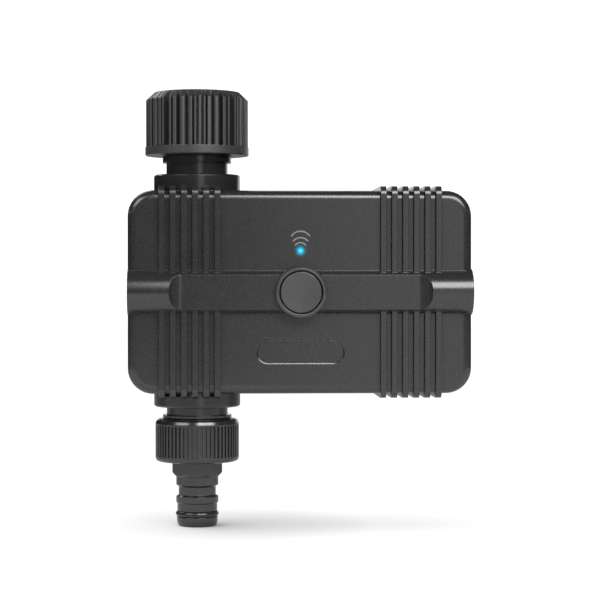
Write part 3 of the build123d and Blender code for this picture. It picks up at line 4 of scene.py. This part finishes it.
import bmesh
import bpy
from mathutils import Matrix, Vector


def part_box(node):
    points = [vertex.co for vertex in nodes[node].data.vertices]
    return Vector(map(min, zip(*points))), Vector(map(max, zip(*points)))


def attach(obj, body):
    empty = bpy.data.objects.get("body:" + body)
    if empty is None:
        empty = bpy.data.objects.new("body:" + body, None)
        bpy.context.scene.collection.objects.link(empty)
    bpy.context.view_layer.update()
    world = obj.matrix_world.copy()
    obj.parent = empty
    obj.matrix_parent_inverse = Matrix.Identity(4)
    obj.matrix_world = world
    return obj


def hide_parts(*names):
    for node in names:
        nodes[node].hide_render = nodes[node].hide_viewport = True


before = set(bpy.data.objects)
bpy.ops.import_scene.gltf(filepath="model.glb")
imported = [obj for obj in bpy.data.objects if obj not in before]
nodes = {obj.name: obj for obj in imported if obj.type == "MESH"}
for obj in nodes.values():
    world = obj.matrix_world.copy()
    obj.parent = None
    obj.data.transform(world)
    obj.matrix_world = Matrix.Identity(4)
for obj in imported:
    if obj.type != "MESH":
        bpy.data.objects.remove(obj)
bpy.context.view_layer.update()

MM = 0.001

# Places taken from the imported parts
casing_low, casing_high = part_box("front_casing")
light_low, light_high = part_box("light_guide")
light_middle = (light_low + light_high) / 2
cells_low, cells_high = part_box("battery_cells")
floor_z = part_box("outlet_adapter")[0].z

# Camera: the object is seen turned a little, with its left side nearer
camera_place = (3.34 * MM, -773.1 * MM, -72.6 * MM)
camera_yaw = math.radians(2.8)
camera_pitch = math.radians(-0.74)
camera_lens = 115.9

# Threads and filter
weld_distance = 0.001 * MM
thread_pitch = 1.814 * MM
thread_steps = 72
thread_half_width = 0.46
thread_play = 0.15 * MM
tap_thread_inner = 12.06 * MM
tap_thread_outer = 13.1 * MM
tap_thread_length = 7.6 * MM
tap_thread_start = 1.0 * MM
spigot_thread_outer = 12.0 * MM
spigot_thread_inner = 11.0 * MM
spigot_thread_length = 10.6 * MM
filter_rim_inner = 7.0 * MM
filter_rim_height = 0.6 * MM
rim_steps = 64
wire_radius = 0.09 * MM
wire_spacing = 0.5 * MM
wire_overlap = 0.3 * MM
wire_weave = 0.6 * wire_radius

# Finishes
plastic_cloud = 22 * MM
plastic_drift = 9 * MM
# Patch size and edge reach of the paler convex edges, which are partly wear and partly painted highlight
wear_and_highlight_patch = 3 * MM
wear_and_highlight_reach = 0.45 * MM
# Size of the glow painted on the casing round the light guide
painted_glow_reach = 3.6 * MM
painted_glow_core = 0.6 * MM
light_core = 0.8 * MM
board_run_spacing = 6 * MM
board_pad_spacing = 2.2 * MM
cell_film_half = 23.6 * MM
cell_film_edge = 0.1 * MM
cell_band_half = 14.0 * MM
cell_band_edge = 0.05 * MM

# Studio
studio_radius = 3.0
wall_height = 0.7
card_radius = 1.0
card_top = 0.1
wall_level = 1.22
left_card = (-166, 3.9)
right_card = (18, 140)
floor_seen_share = 0.9
floor_seen_level = 1.12
floor_dim_from = -60 * MM
floor_dim_to = 120 * MM
floor_mirrored = (1.22, 0.42)
shade_reach = 62 * MM
shade_lean = (-0.5, 0.0, 1.0)
shade_power = 1.2
shade_end = 0.25
floor_blend_end = 1.2
world_level = 0.06


def linear(grey):
    """Linear value of a grey or colour channel from 0 to 255."""
    share = grey / 255
    return share / 12.92 if share <= 0.04045 else ((share + 0.055) / 1.055) ** 2.4


def rgba(red, green=None, blue=None):
    """Linear colour from channels of 0 to 255. One channel alone is a grey."""
    green = red if green is None else green
    blue = red if blue is None else blue
    return (linear(red), linear(green), linear(blue), 1.0)


def node(tree, kind, inputs=None, **settings):
    """A shader node with its settings, and its inputs as values or as sockets to link."""
    made = tree.nodes.new(kind)
    for key, value in settings.items():
        setattr(made, key, value)
    for key, value in (inputs or {}).items():
        if isinstance(value, bpy.types.NodeSocket):
            tree.links.new(value, made.inputs[key])
        else:
            made.inputs[key].default_value = value
    return made


def maths(tree, operation, first, second=0.0, clamp=False):
    """The result of one sum on two values or sockets."""
    made = node(tree, "ShaderNodeMath", {0: first, 1: second}, operation=operation, use_clamp=clamp)
    return made.outputs[0]


def between(tree, value, low, high, to_low=0.0, to_high=1.0):
    """A value carried from one range to another, smoothly and held at the ends."""
    inputs = {"Value": value, "From Min": low, "From Max": high, "To Min": to_low, "To Max": to_high}
    return node(tree, "ShaderNodeMapRange", inputs, interpolation_type="SMOOTHSTEP").outputs["Result"]


def blended(tree, factor, first, second, kind="MIX"):
    """Two colours mixed by a factor."""
    made = node(tree, "ShaderNodeMix", data_type="RGBA", blend_type=kind)
    for index, value in ((0, factor), (6, first), (7, second)):
        if isinstance(value, bpy.types.NodeSocket):
            tree.links.new(value, made.inputs[index])
        else:
            made.inputs[index].default_value = value
    return made.outputs[2]


def noise(tree, place, size, detail=2.0, roughness=0.55):
    """Noise whose features are about a size in metres."""
    inputs = {"Vector": place, "Scale": 1 / size, "Detail": detail, "Roughness": roughness}
    return node(tree, "ShaderNodeTexNoise", inputs).outputs["Fac"]


def shade(colour, share):
    """A colour made lighter or darker."""
    return tuple(min(1.0, channel * share) for channel in colour[:3]) + (1.0,)


class Surface:
    """A finish under way: its tree, the place on the object, rounded edges and one shader."""

    def __init__(self, name, edge=0.25 * MM):
        self.material = bpy.data.materials.new(name)
        self.material.use_nodes = True
        self.tree = self.material.node_tree
        self.tree.nodes.clear()
        self.place = node(self.tree, "ShaderNodeTexCoord").outputs["Object"]
        self.rounded = node(self.tree, "ShaderNodeBevel", {"Radius": edge}, samples=6).outputs["Normal"]
        self.shader = node(self.tree, "ShaderNodeBsdfPrincipled")
        output = node(self.tree, "ShaderNodeOutputMaterial")
        self.tree.links.new(self.shader.outputs[0], output.inputs["Surface"])

    def edges(self, strength=1.0):
        """How near a convex edge a point lies, broken up into patches: the mask for paler edges that are
        partly wear and partly a painted edge highlight.
        """
        wide = node(self.tree, "ShaderNodeBevel", {"Radius": wear_and_highlight_reach}, samples=6).outputs["Normal"]
        flat = node(self.tree, "ShaderNodeNewGeometry").outputs["Normal"]
        same = node(self.tree, "ShaderNodeVectorMath", {0: wide, 1: flat}, operation="DOT_PRODUCT")
        near = maths(self.tree, "SUBTRACT", 1.0, same.outputs["Value"])
        patches = between(self.tree, noise(self.tree, self.place, wear_and_highlight_patch, 4.0), 0.35, 0.7)
        worn_and_highlit = maths(self.tree, "MULTIPLY", between(self.tree, near, 0.02, 0.3), patches)
        return maths(self.tree, "MULTIPLY", worn_and_highlit, strength, clamp=True)

    def colour(self, base, tone, patch_size, wear_and_highlight, worn_and_highlit_colour, speckle=None):
        """Base colour with cloudy variation, a fine speckle if asked for, and lighter edges that are partly
        wear and partly a painted highlight.
        """
        cloud = noise(self.tree, self.place, patch_size, 4.0)
        mixed = blended(self.tree, cloud, shade(base, 1 - tone), shade(base, 1 + tone))
        if speckle:
            dots = between(self.tree, noise(self.tree, self.place, speckle, 1.0), 0.3, 0.7, 0.8, 1.2)
            spotted = node(self.tree, "ShaderNodeVectorMath", {0: mixed, "Scale": dots}, operation="SCALE")
            mixed = spotted.outputs[0]
        if wear_and_highlight:
            # Painted highlight and wear: convex edges are mixed towards a paler colour
            mixed = blended(self.tree, self.edges(strength=wear_and_highlight), mixed, worn_and_highlit_colour)
        self.set("Base Color", mixed)
        return mixed

    def rough(self, middle, swing, patch_size):
        """Roughness that drifts over the surface."""
        drift = noise(self.tree, self.place, patch_size, 3.0)
        self.set("Roughness", between(self.tree, drift, 0.3, 0.7, middle - swing, middle + swing))

    def bump(self, height, distance, strength=1.0):
        """Fine relief over the rounded edges."""
        inputs = {"Height": height, "Distance": distance, "Strength": strength, "Normal": self.rounded}
        self.set("Normal", node(self.tree, "ShaderNodeBump", inputs).outputs["Normal"])

    def set(self, socket, value):
        if isinstance(value, bpy.types.NodeSocket):
            self.tree.links.new(value, self.shader.inputs[socket])
        else:
            self.shader.inputs[socket].default_value = value


def moulded(name, grey, roughness=0.46, gloss=0.5, grain=0.45 * MM, depth=0.014 * MM, wear_and_highlight=0.22, tint=None):
    """Moulded plastic with a spark-eroded grain, slight clouding and paler edges, partly wear and partly
    painted highlight.
    """
    surface = Surface(name)
    base = tint or rgba(grey)
    # Edges paled towards 2.2 times the base: partly wear, partly painted highlight
    surface.colour(base, 0.03, plastic_cloud, wear_and_highlight, shade(base, 2.2), speckle=grain)
    surface.rough(roughness, 0.012, plastic_drift)
    coarse = noise(surface.tree, surface.place, grain, 2.0)
    fine = noise(surface.tree, surface.place, grain / 3, 1.0)
    surface.bump(maths(surface.tree, "ADD", coarse, maths(surface.tree, "MULTIPLY", fine, 0.4)), depth)
    surface.set("Specular IOR Level", gloss)
    return surface


def rubber(name, grey):
    """Oiled rubber with a little bloom."""
    surface = Surface(name, edge=0.1 * MM)
    base = rgba(grey)
    # Edges paled towards twice the base: partly wear, partly painted highlight
    surface.colour(base, 0.25, 3 * MM, 0.15, shade(base, 2.0))
    surface.rough(0.2, 0.04, 2 * MM)
    surface.bump(noise(surface.tree, surface.place, 0.2 * MM, 3.0), 0.003 * MM)
    surface.set("Specular IOR Level", 0.5)
    return surface


def metal(name, tint, roughness, streak_axis=None, streak=0.12 * MM, depth=0.004 * MM):
    """Turned, drawn or plated metal, with streaks that run along one axis."""
    surface = Surface(name, edge=0.12 * MM)
    # Edges paled towards a lighter tint: partly wear, partly painted highlight
    surface.colour(tint, 0.12, 4 * MM, 0.4, shade(tint, 1.3))
    surface.rough(roughness, 0.06, 1.5 * MM)
    stretch = [1.0, 1.0, 1.0]
    if streak_axis is not None:
        stretch[streak_axis] = 0.03
    mapped = node(surface.tree, "ShaderNodeMapping", {"Vector": surface.place, "Scale": stretch})
    surface.bump(noise(surface.tree, mapped.outputs["Vector"], streak, 3.0), depth)
    surface.set("Metallic", 1.0)
    return surface


def axis_of(tree, place, axis):
    """One coordinate of the place on the object."""
    return node(tree, "ShaderNodeSeparateXYZ", {0: place}).outputs[axis]


def distance_to(tree, place, point):
    """How far a place lies from a point."""
    made = node(tree, "ShaderNodeVectorMath", {0: place, 1: tuple(point)}, operation="DISTANCE")
    return made.outputs["Value"]


def casing_finish():
    """Casing plastic, with a painted glow round the light: emission on the casing standing in for spilled
    light.
    """
    surface = moulded("casing_plastic", 32, roughness=0.22, gloss=0.52, depth=0.009 * MM)
    away = distance_to(surface.tree, surface.place, (light_middle.x, light_low.y, light_middle.z))
    # Painted glow: the casing itself emits cyan light, strongest next to the light guide and fading out over
    # a few millimetres
    painted_glow = maths(surface.tree, "POWER", between(surface.tree, away, painted_glow_reach, painted_glow_core), 3.0)
    surface.set("Emission Color", rgba(0, 150, 190))
    surface.set("Emission Strength", painted_glow)
    return surface


def light_finish():
    """The lit light guide, palest in its middle."""
    surface = Surface("light_lens", edge=0.1 * MM)
    away = distance_to(surface.tree, surface.place, (light_middle.x, light_low.y, light_middle.z))
    core = between(surface.tree, away, light_core, 0.0)
    surface.set("Base Color", blended(surface.tree, core, rgba(0, 120, 150), rgba(60, 190, 220)))
    surface.set("Emission Color", blended(surface.tree, core, rgba(0, 118, 165), rgba(60, 225, 255)))
    surface.set("Emission Strength", 1.0)
    surface.rough(0.2, 0.05, 1 * MM)
    surface.bump(noise(surface.tree, surface.place, 0.3 * MM), 0.004 * MM)
    return surface


def board_finish():
    """Lacquered board: copper runs show paler through the green."""
    surface = Surface("board_green", edge=0.1 * MM)
    tree = surface.tree
    runs = node(tree, "ShaderNodeTexBrick", {
        "Vector": surface.place, "Scale": 1 / board_run_spacing, "Mortar Size": 0.03, "Brick Width": 1.6,
        "Color1": (0, 0, 0, 1), "Color2": (0, 0, 0, 1), "Mortar": (1, 1, 1, 1),
    })
    pads = node(tree, "ShaderNodeTexVoronoi", {"Vector": surface.place, "Scale": 1 / board_pad_spacing})
    dots = between(tree, pads.outputs["Distance"], 0.2, 0.12)
    copper = maths(tree, "MAXIMUM", runs.outputs["Color"], dots)
    base = blended(tree, noise(tree, surface.place, 5 * MM), rgba(8, 58, 30), rgba(12, 72, 38))
    surface.set("Base Color", blended(tree, copper, base, rgba(40, 120, 62)))
    surface.rough(0.3, 0.05, 2 * MM)
    surface.bump(copper, 0.02 * MM)
    return surface


def cell_finish():
    """Battery cells: shrink film between bare steel ends."""
    surface = Surface("cell_wrap", edge=0.3 * MM)
    tree = surface.tree
    middle = (cells_low.z + cells_high.z) / 2
    height = maths(tree, "ABSOLUTE", maths(tree, "SUBTRACT", axis_of(tree, surface.place, "Z"), middle))
    bare = between(tree, height, cell_film_half, cell_film_half + cell_film_edge)
    band = between(tree, height, cell_band_half, cell_band_half + cell_band_edge)
    cloud = noise(tree, surface.place, 6 * MM)
    film = blended(tree, cloud, rgba(34, 44, 60), rgba(42, 52, 70))
    film = blended(tree, band, film, rgba(186, 150, 60))
    surface.set("Base Color", blended(tree, bare, film, rgba(190)))
    surface.set("Metallic", bare)
    surface.rough(0.28, 0.06, 3 * MM)
    surface.bump(noise(tree, surface.place, 0.8 * MM, 3.0), 0.01 * MM)
    return surface


def gear_finish():
    """Natural acetal, slightly waxy."""
    surface = moulded("gear_plastic", 0, roughness=0.36, wear_and_highlight=0.1, tint=rgba(226, 222, 208))
    surface.set("Subsurface Weight", 0.1)
    surface.set("Subsurface Radius", (0.4 * MM, 0.4 * MM, 0.3 * MM))
    return surface


finishes = {
    "casing_plastic": casing_finish(),
    "column_plastic": moulded("column_plastic", 27, roughness=0.2, gloss=0.62),
    "nut_plastic": moulded("nut_plastic", 34, roughness=0.38, gloss=0.75),
    "button_plastic": moulded("button_plastic", 52, roughness=0.3, grain=0.3 * MM),
    "signal_print": moulded("signal_print", 104, roughness=0.5, wear_and_highlight=0.0),
    "light_lens": light_finish(),
    "soft_rubber": rubber("soft_rubber", 32),
    "seat_plastic": moulded("seat_plastic", 236, roughness=0.4, wear_and_highlight=0.0),
    "brass": metal("brass", rgba(196, 160, 92), 0.26, 0),
    "ball_chrome": metal("ball_chrome", rgba(215, 218, 220), 0.09, depth=0.001 * MM),
    "steel": metal("steel", rgba(190, 192, 194), 0.3, 2),
    "dark_steel": metal("dark_steel", rgba(80, 80, 82), 0.36, 1),
    "gear_plastic": gear_finish(),
    "gearbox_plastic": moulded("gearbox_plastic", 52, roughness=0.5),
    "board_green": board_finish(),
    "chip_black": moulded("chip_black", 34, roughness=0.5, grain=0.15 * MM),
    "connector_white": moulded("connector_white", 0, roughness=0.4, wear_and_highlight=0.0, tint=rgba(228, 222, 204)),
    "lead_red": moulded("lead_red", 0, roughness=0.34, wear_and_highlight=0.0, tint=rgba(170, 26, 20)),
    "cell_wrap": cell_finish(),
    "magnet_grey": metal("magnet_grey", rgba(120, 121, 124), 0.45),
}

# Nodes that differ in finish from the rest of their slot
node_finishes = {"inlet_nut": "nut_plastic"}


def finish_nodes():
    """Give each CAD node the finish of its slot in the record."""
    for name, made in nodes.items():
        for place in made.material_slots:
            slot = place.material.name.split(".")[0]
            place.material = finishes[node_finishes.get(name, slot)].material


def new_piece(name, mesh, body, finish):
    """An object made from a mesh, riding on a body and finished like one of the record's slots."""
    piece = bpy.data.objects.new(name, mesh)
    bpy.context.scene.collection.objects.link(piece)
    mesh.materials.clear()
    mesh.materials.append(finishes[finish].material)
    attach(piece, body)
    return piece


def mesh_of(name, shape, smooth_angle=35):
    """A mesh from a bmesh, welded, facing outwards and smooth but for its sharp edges."""
    bmesh.ops.remove_doubles(shape, verts=shape.verts, dist=weld_distance)
    bmesh.ops.recalc_face_normals(shape, faces=shape.faces)
    mesh = bpy.data.meshes.new(name)
    shape.to_mesh(mesh)
    shape.free()
    if "custom_normal" in mesh.attributes:
        mesh.attributes.remove(mesh.attributes["custom_normal"])
    mesh.shade_smooth()
    mesh.set_sharp_from_angle(angle=math.radians(smooth_angle))
    return mesh


def helix_cutter(apex_radius, base_radius, low, high):
    """A three-sided bar wound as a thread, whose edge at the apex radius cuts deepest."""
    shape = bmesh.new()
    steps = round((high - low) / thread_pitch * thread_steps)
    sections = []
    for step in range(steps + 1):
        turn = 2 * math.pi * step / thread_steps
        middle = low + (high - low) * step / steps
        section = []
        corners = ((apex_radius, 0.0), (base_radius, thread_half_width), (base_radius, -thread_half_width))
        for radius, lift in corners:
            height = middle + lift * thread_pitch
            section.append(shape.verts.new((radius * math.cos(turn), radius * math.sin(turn), height)))
        sections.append(section)
    for first, second in zip(sections, sections[1:]):
        for corner in range(3):
            after = (corner + 1) % 3
            shape.faces.new((first[corner], first[after], second[after], second[corner]))
    shape.faces.new(sections[0])
    shape.faces.new(sections[-1][::-1])
    cutter = bpy.data.objects.new("cutter", mesh_of("cutter", shape))
    bpy.context.scene.collection.objects.link(cutter)
    return cutter


def threaded(name, original, body, finish, cutter):
    """A node's own shape with a thread cut into it, standing for that node."""
    shape = bmesh.new()
    shape.from_mesh(nodes[original].data)
    piece = new_piece(name, mesh_of(name, shape), body, finish)
    cut = piece.modifiers.new("thread", "BOOLEAN")
    cut.operation = "DIFFERENCE"
    cut.solver = "EXACT"
    cut.object = cutter
    bpy.context.view_layer.update()
    finished = piece.evaluated_get(bpy.context.evaluated_depsgraph_get())
    shape = bmesh.new()
    shape.from_mesh(finished.to_mesh())
    finished.to_mesh_clear()
    piece.modifiers.remove(cut)
    piece.data = mesh_of(name, shape)
    piece.data.materials.clear()
    piece.data.materials.append(finishes[finish].material)
    bpy.data.objects.remove(cutter)
    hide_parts(original)
    return piece


def woven_filter():
    """Filter of woven wire, coned upwards, in a flat rim that the washer holds."""
    low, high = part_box("inlet_filter")
    rim_top = low.z + filter_rim_height
    shape = bmesh.new()
    rim = []
    rim_corners = ((filter_rim_inner, low.z), (high.x, low.z), (high.x, rim_top), (filter_rim_inner, rim_top))
    for radius, height in rim_corners:
        ring = []
        for step in range(rim_steps):
            turn = 2 * math.pi * step / rim_steps
            ring.append(shape.verts.new((radius * math.cos(turn), radius * math.sin(turn), height)))
        rim.append(ring)
    for ring, outer in zip(rim, rim[1:] + rim[:1]):
        for step in range(rim_steps):
            after = (step + 1) % rim_steps
            shape.faces.new((ring[step], ring[after], outer[after], outer[step]))
    reach = filter_rim_inner + wire_overlap
    wire_foot = low.z + filter_rim_height / 2
    cone_rise = high.z - wire_radius - low.z - filter_rim_height
    count = int(reach / wire_spacing)
    for across in (0, 1):
        for index in range(-count, count + 1):
            offset = index * wire_spacing
            half = math.sqrt(reach**2 - offset**2)
            steps = 2 * max(2, round(half / wire_spacing))
            points = []
            for step in range(steps + 1):
                along = (step - steps / 2) * wire_spacing
                fall = math.hypot(along, offset) / reach
                height = wire_foot + cone_rise * (1 - fall)
                over = 1 if (step + index + across) % 2 else -1
                height += over * wire_weave
                points.append(Vector((offset, along, height) if across else (along, offset, height)))
            add_wire(shape, points)
    piece = new_piece("filter_mesh", mesh_of("filter_mesh", shape), "inlet_nut", "steel")
    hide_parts("inlet_filter")


def add_wire(shape, points, sides=5):
    """A round wire along points, closed at both ends."""
    rings = []
    for index, point in enumerate(points):
        ahead = (points[min(index + 1, len(points) - 1)] - points[max(index - 1, 0)]).normalized()
        aside = ahead.cross(Vector((0, 0, 1))).normalized()
        above = aside.cross(ahead)
        ring = []
        for side in range(sides):
            turn = 2 * math.pi * side / sides
            out = wire_radius * (math.cos(turn) * aside + math.sin(turn) * above)
            ring.append(shape.verts.new(point + out))
        rings.append(ring)
    for first, second in zip(rings, rings[1:]):
        for side in range(sides):
            after = (side + 1) % sides
            shape.faces.new((first[side], first[after], second[after], second[side]))
    shape.faces.new(rings[0])
    shape.faces.new(rings[-1][::-1])


def threads():
    """Pipe thread in the reducer's bore and on the outlet spigot."""
    threaded(
        "reducer_bush", "inlet_reducer", "inlet_nut", "column_plastic",
        helix_cutter(tap_thread_outer, tap_thread_inner - thread_play, -tap_thread_length, tap_thread_start),
    )
    spigot_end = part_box("outlet_spigot")[0].z
    threaded(
        "threaded_spigot", "outlet_spigot", "casing", "column_plastic",
        helix_cutter(spigot_thread_inner, spigot_thread_outer + thread_play, spigot_end - thread_pitch,
                     spigot_end + spigot_thread_length),
    )


def floor_finish():
    """White floor, shaded near the object. In reflections the part behind the object is dimmer."""
    material = bpy.data.materials.new("floor_white")
    material.use_nodes = True
    tree = material.node_tree
    tree.nodes.clear()
    place = node(tree, "ShaderNodeTexCoord").outputs["Object"]
    grain = noise(tree, place, 30 * MM, 2.0)
    tone = blended(tree, grain, (0.79, 0.79, 0.79, 1), (0.81, 0.81, 0.81, 1))
    matt = node(tree, "ShaderNodeBsdfDiffuse", {"Color": tone})
    lean = node(tree, "ShaderNodeVectorMath", {0: shade_lean}, operation="NORMALIZE").outputs["Vector"]
    reached = {"Distance": shade_reach, "Normal": lean}
    occlusion = node(tree, "ShaderNodeAmbientOcclusion", reached, samples=24)
    shade_near = maths(tree, "POWER", occlusion.outputs["AO"], shade_power)
    away = node(tree, "ShaderNodeVectorMath", {0: place}, operation="LENGTH").outputs["Value"]
    open_floor = between(tree, away, 0.5 * shade_end, shade_end)
    level = maths(tree, "MULTIPLY", maths(tree, "MAXIMUM", shade_near, open_floor), floor_seen_level)
    mirrored = between(tree, axis_of(tree, place, "Y"), floor_dim_from, floor_dim_to, *floor_mirrored)
    eye = node(tree, "ShaderNodeLightPath").outputs["Is Camera Ray"]
    held = node(tree, "ShaderNodeMix", {0: eye, 2: mirrored, 3: 1.0}).outputs[0]
    level = maths(tree, "MULTIPLY", level, held)
    glow = node(tree, "ShaderNodeEmission", {"Color": (1, 1, 1, 1), "Strength": level})
    share = between(tree, away, shade_end, floor_blend_end, floor_seen_share, 1.0)
    share = maths(tree, "MULTIPLY", share, ray_seen(tree))
    both = node(tree, "ShaderNodeMixShader", {0: share, 1: matt.outputs[0], 2: glow.outputs[0]})
    node(tree, "ShaderNodeOutputMaterial", {"Surface": both.outputs[0]})
    return material


def ray_seen(tree):
    """1 for what the eye, gloss and clear plastic see, and 0 for diffuse light."""
    path = node(tree, "ShaderNodeLightPath").outputs
    seen = maths(tree, "MAXIMUM", path["Is Camera Ray"], path["Is Glossy Ray"])
    return maths(tree, "MAXIMUM", seen, path["Is Transmission Ray"])


def wall_finish():
    """White wall round the studio."""
    material = bpy.data.materials.new("wall_white")
    material.use_nodes = True
    tree = material.node_tree
    tree.nodes.clear()
    matt = node(tree, "ShaderNodeBsdfDiffuse", {"Color": (0.6, 0.6, 0.6, 1)})
    glow = node(tree, "ShaderNodeEmission", {"Color": (1, 1, 1, 1), "Strength": wall_level})
    both = node(tree, "ShaderNodeMixShader", {0: ray_seen(tree), 1: matt.outputs[0], 2: glow.outputs[0]})
    node(tree, "ShaderNodeOutputMaterial", {"Surface": both.outputs[0]})
    return material


def card_finish():
    """Black felt on the cards that keep the white wall out of the reflections at both sides."""
    material = bpy.data.materials.new("card_black")
    material.use_nodes = True
    tree = material.node_tree
    tree.nodes.clear()
    nap = noise(tree, node(tree, "ShaderNodeTexCoord").outputs["Object"], 20 * MM)
    tone = blended(tree, nap, rgba(30), rgba(38))
    matt = node(tree, "ShaderNodeBsdfDiffuse", {"Color": tone})
    node(tree, "ShaderNodeOutputMaterial", {"Surface": matt.outputs[0]})
    return material


def ring_mesh(name, rings, azimuth_from=-180, azimuth_to=180, steps=96):
    """A surface through arcs given as (radius, height). Azimuth 0 is the front, and 90 the right."""
    points = []
    for radius, height in rings:
        for step in range(steps + 1):
            turn = math.radians(azimuth_from + (azimuth_to - azimuth_from) * step / steps)
            points.append((radius * math.sin(turn), -radius * math.cos(turn), height))
    faces = []
    for ring in range(len(rings) - 1):
        low, high = ring * (steps + 1), (ring + 1) * (steps + 1)
        for step in range(steps):
            faces.append((low + step, low + step + 1, high + step + 1, high + step))
    mesh = bpy.data.meshes.new(name)
    mesh.from_pydata(points, [], faces)
    made = bpy.data.objects.new(name, mesh)
    bpy.context.scene.collection.objects.link(made)
    return made


def studio():
    """Floor, wall, lamps and world."""
    floor = ring_mesh("floor", [(0.001, 0.0), (0.3, 0.0), (1.0, 0.0), (studio_radius, 0.0)])
    floor.location.z = floor_z
    floor.data.materials.append(floor_finish())
    wall = ring_mesh("wall", [(studio_radius, -0.01), (studio_radius, wall_height)])
    wall.location.z = floor_z
    wall.data.materials.append(wall_finish())
    felt = card_finish()
    for name, (card_start, card_end) in (("left_card", left_card), ("right_card", right_card)):
        card = ring_mesh(name, [(card_radius, floor_z), (card_radius, card_top)], card_start, card_end)
        card.data.materials.append(felt)
        card.visible_camera = False
    lamp("key_lamp", azimuth=27, elevation=36, distance=1.2, width=0.9, height=0.6, level=12.0)
    lamp("fill_lamp", azimuth=4, elevation=36, distance=1.2, width=0.2, height=0.6, level=5.8)
    lamp("left_lamp", azimuth=-50, elevation=36, distance=1.2, width=0.7, height=0.5, level=7.0)
    lamp("rear_lamp", azimuth=200, elevation=40, distance=1.2, width=1.0, height=0.5, level=2.5)
    world = bpy.data.worlds.new("studio_world")
    bpy.context.scene.world = world
    world.use_nodes = True
    background = world.node_tree.nodes["Background"]
    background.inputs["Color"].default_value = (1, 1, 1, 1)
    background.inputs["Strength"].default_value = world_level


def lamp(name, azimuth, elevation, distance, width, height, level):
    """A soft box aimed at the casing. Azimuth turns from front to right, and level is its brightness."""
    turn, rise = math.radians(azimuth), math.radians(elevation)
    aim = (casing_low + casing_high) / 2
    data = bpy.data.lights.new(name, "AREA")
    data.shape = "RECTANGLE"
    data.size = width
    data.size_y = height
    data.energy = level * math.pi * width * height
    made = bpy.data.objects.new(name, data)
    out = (math.sin(turn) * math.cos(rise), -math.cos(turn) * math.cos(rise), math.sin(rise))
    made.location = [middle + distance * step for middle, step in zip(aim, out)]
    made.rotation_euler = (math.pi / 2 - rise, 0, turn)
    bpy.context.scene.collection.objects.link(made)
    return made


def camera():
    """The photograph's view."""
    data = bpy.data.cameras.new("camera")
    data.lens = camera_lens
    data.sensor_width = 36
    data.clip_start = 0.01
    made = bpy.data.objects.new("camera", data)
    made.location = camera_place
    made.rotation_euler = (math.pi / 2 + camera_pitch, 0, -camera_yaw)
    bpy.context.scene.collection.objects.link(made)
    bpy.context.scene.camera = made


finish_nodes()
threads()
woven_filter()
studio()
camera()
bpy.context.scene.view_settings.view_transform = "Standard"
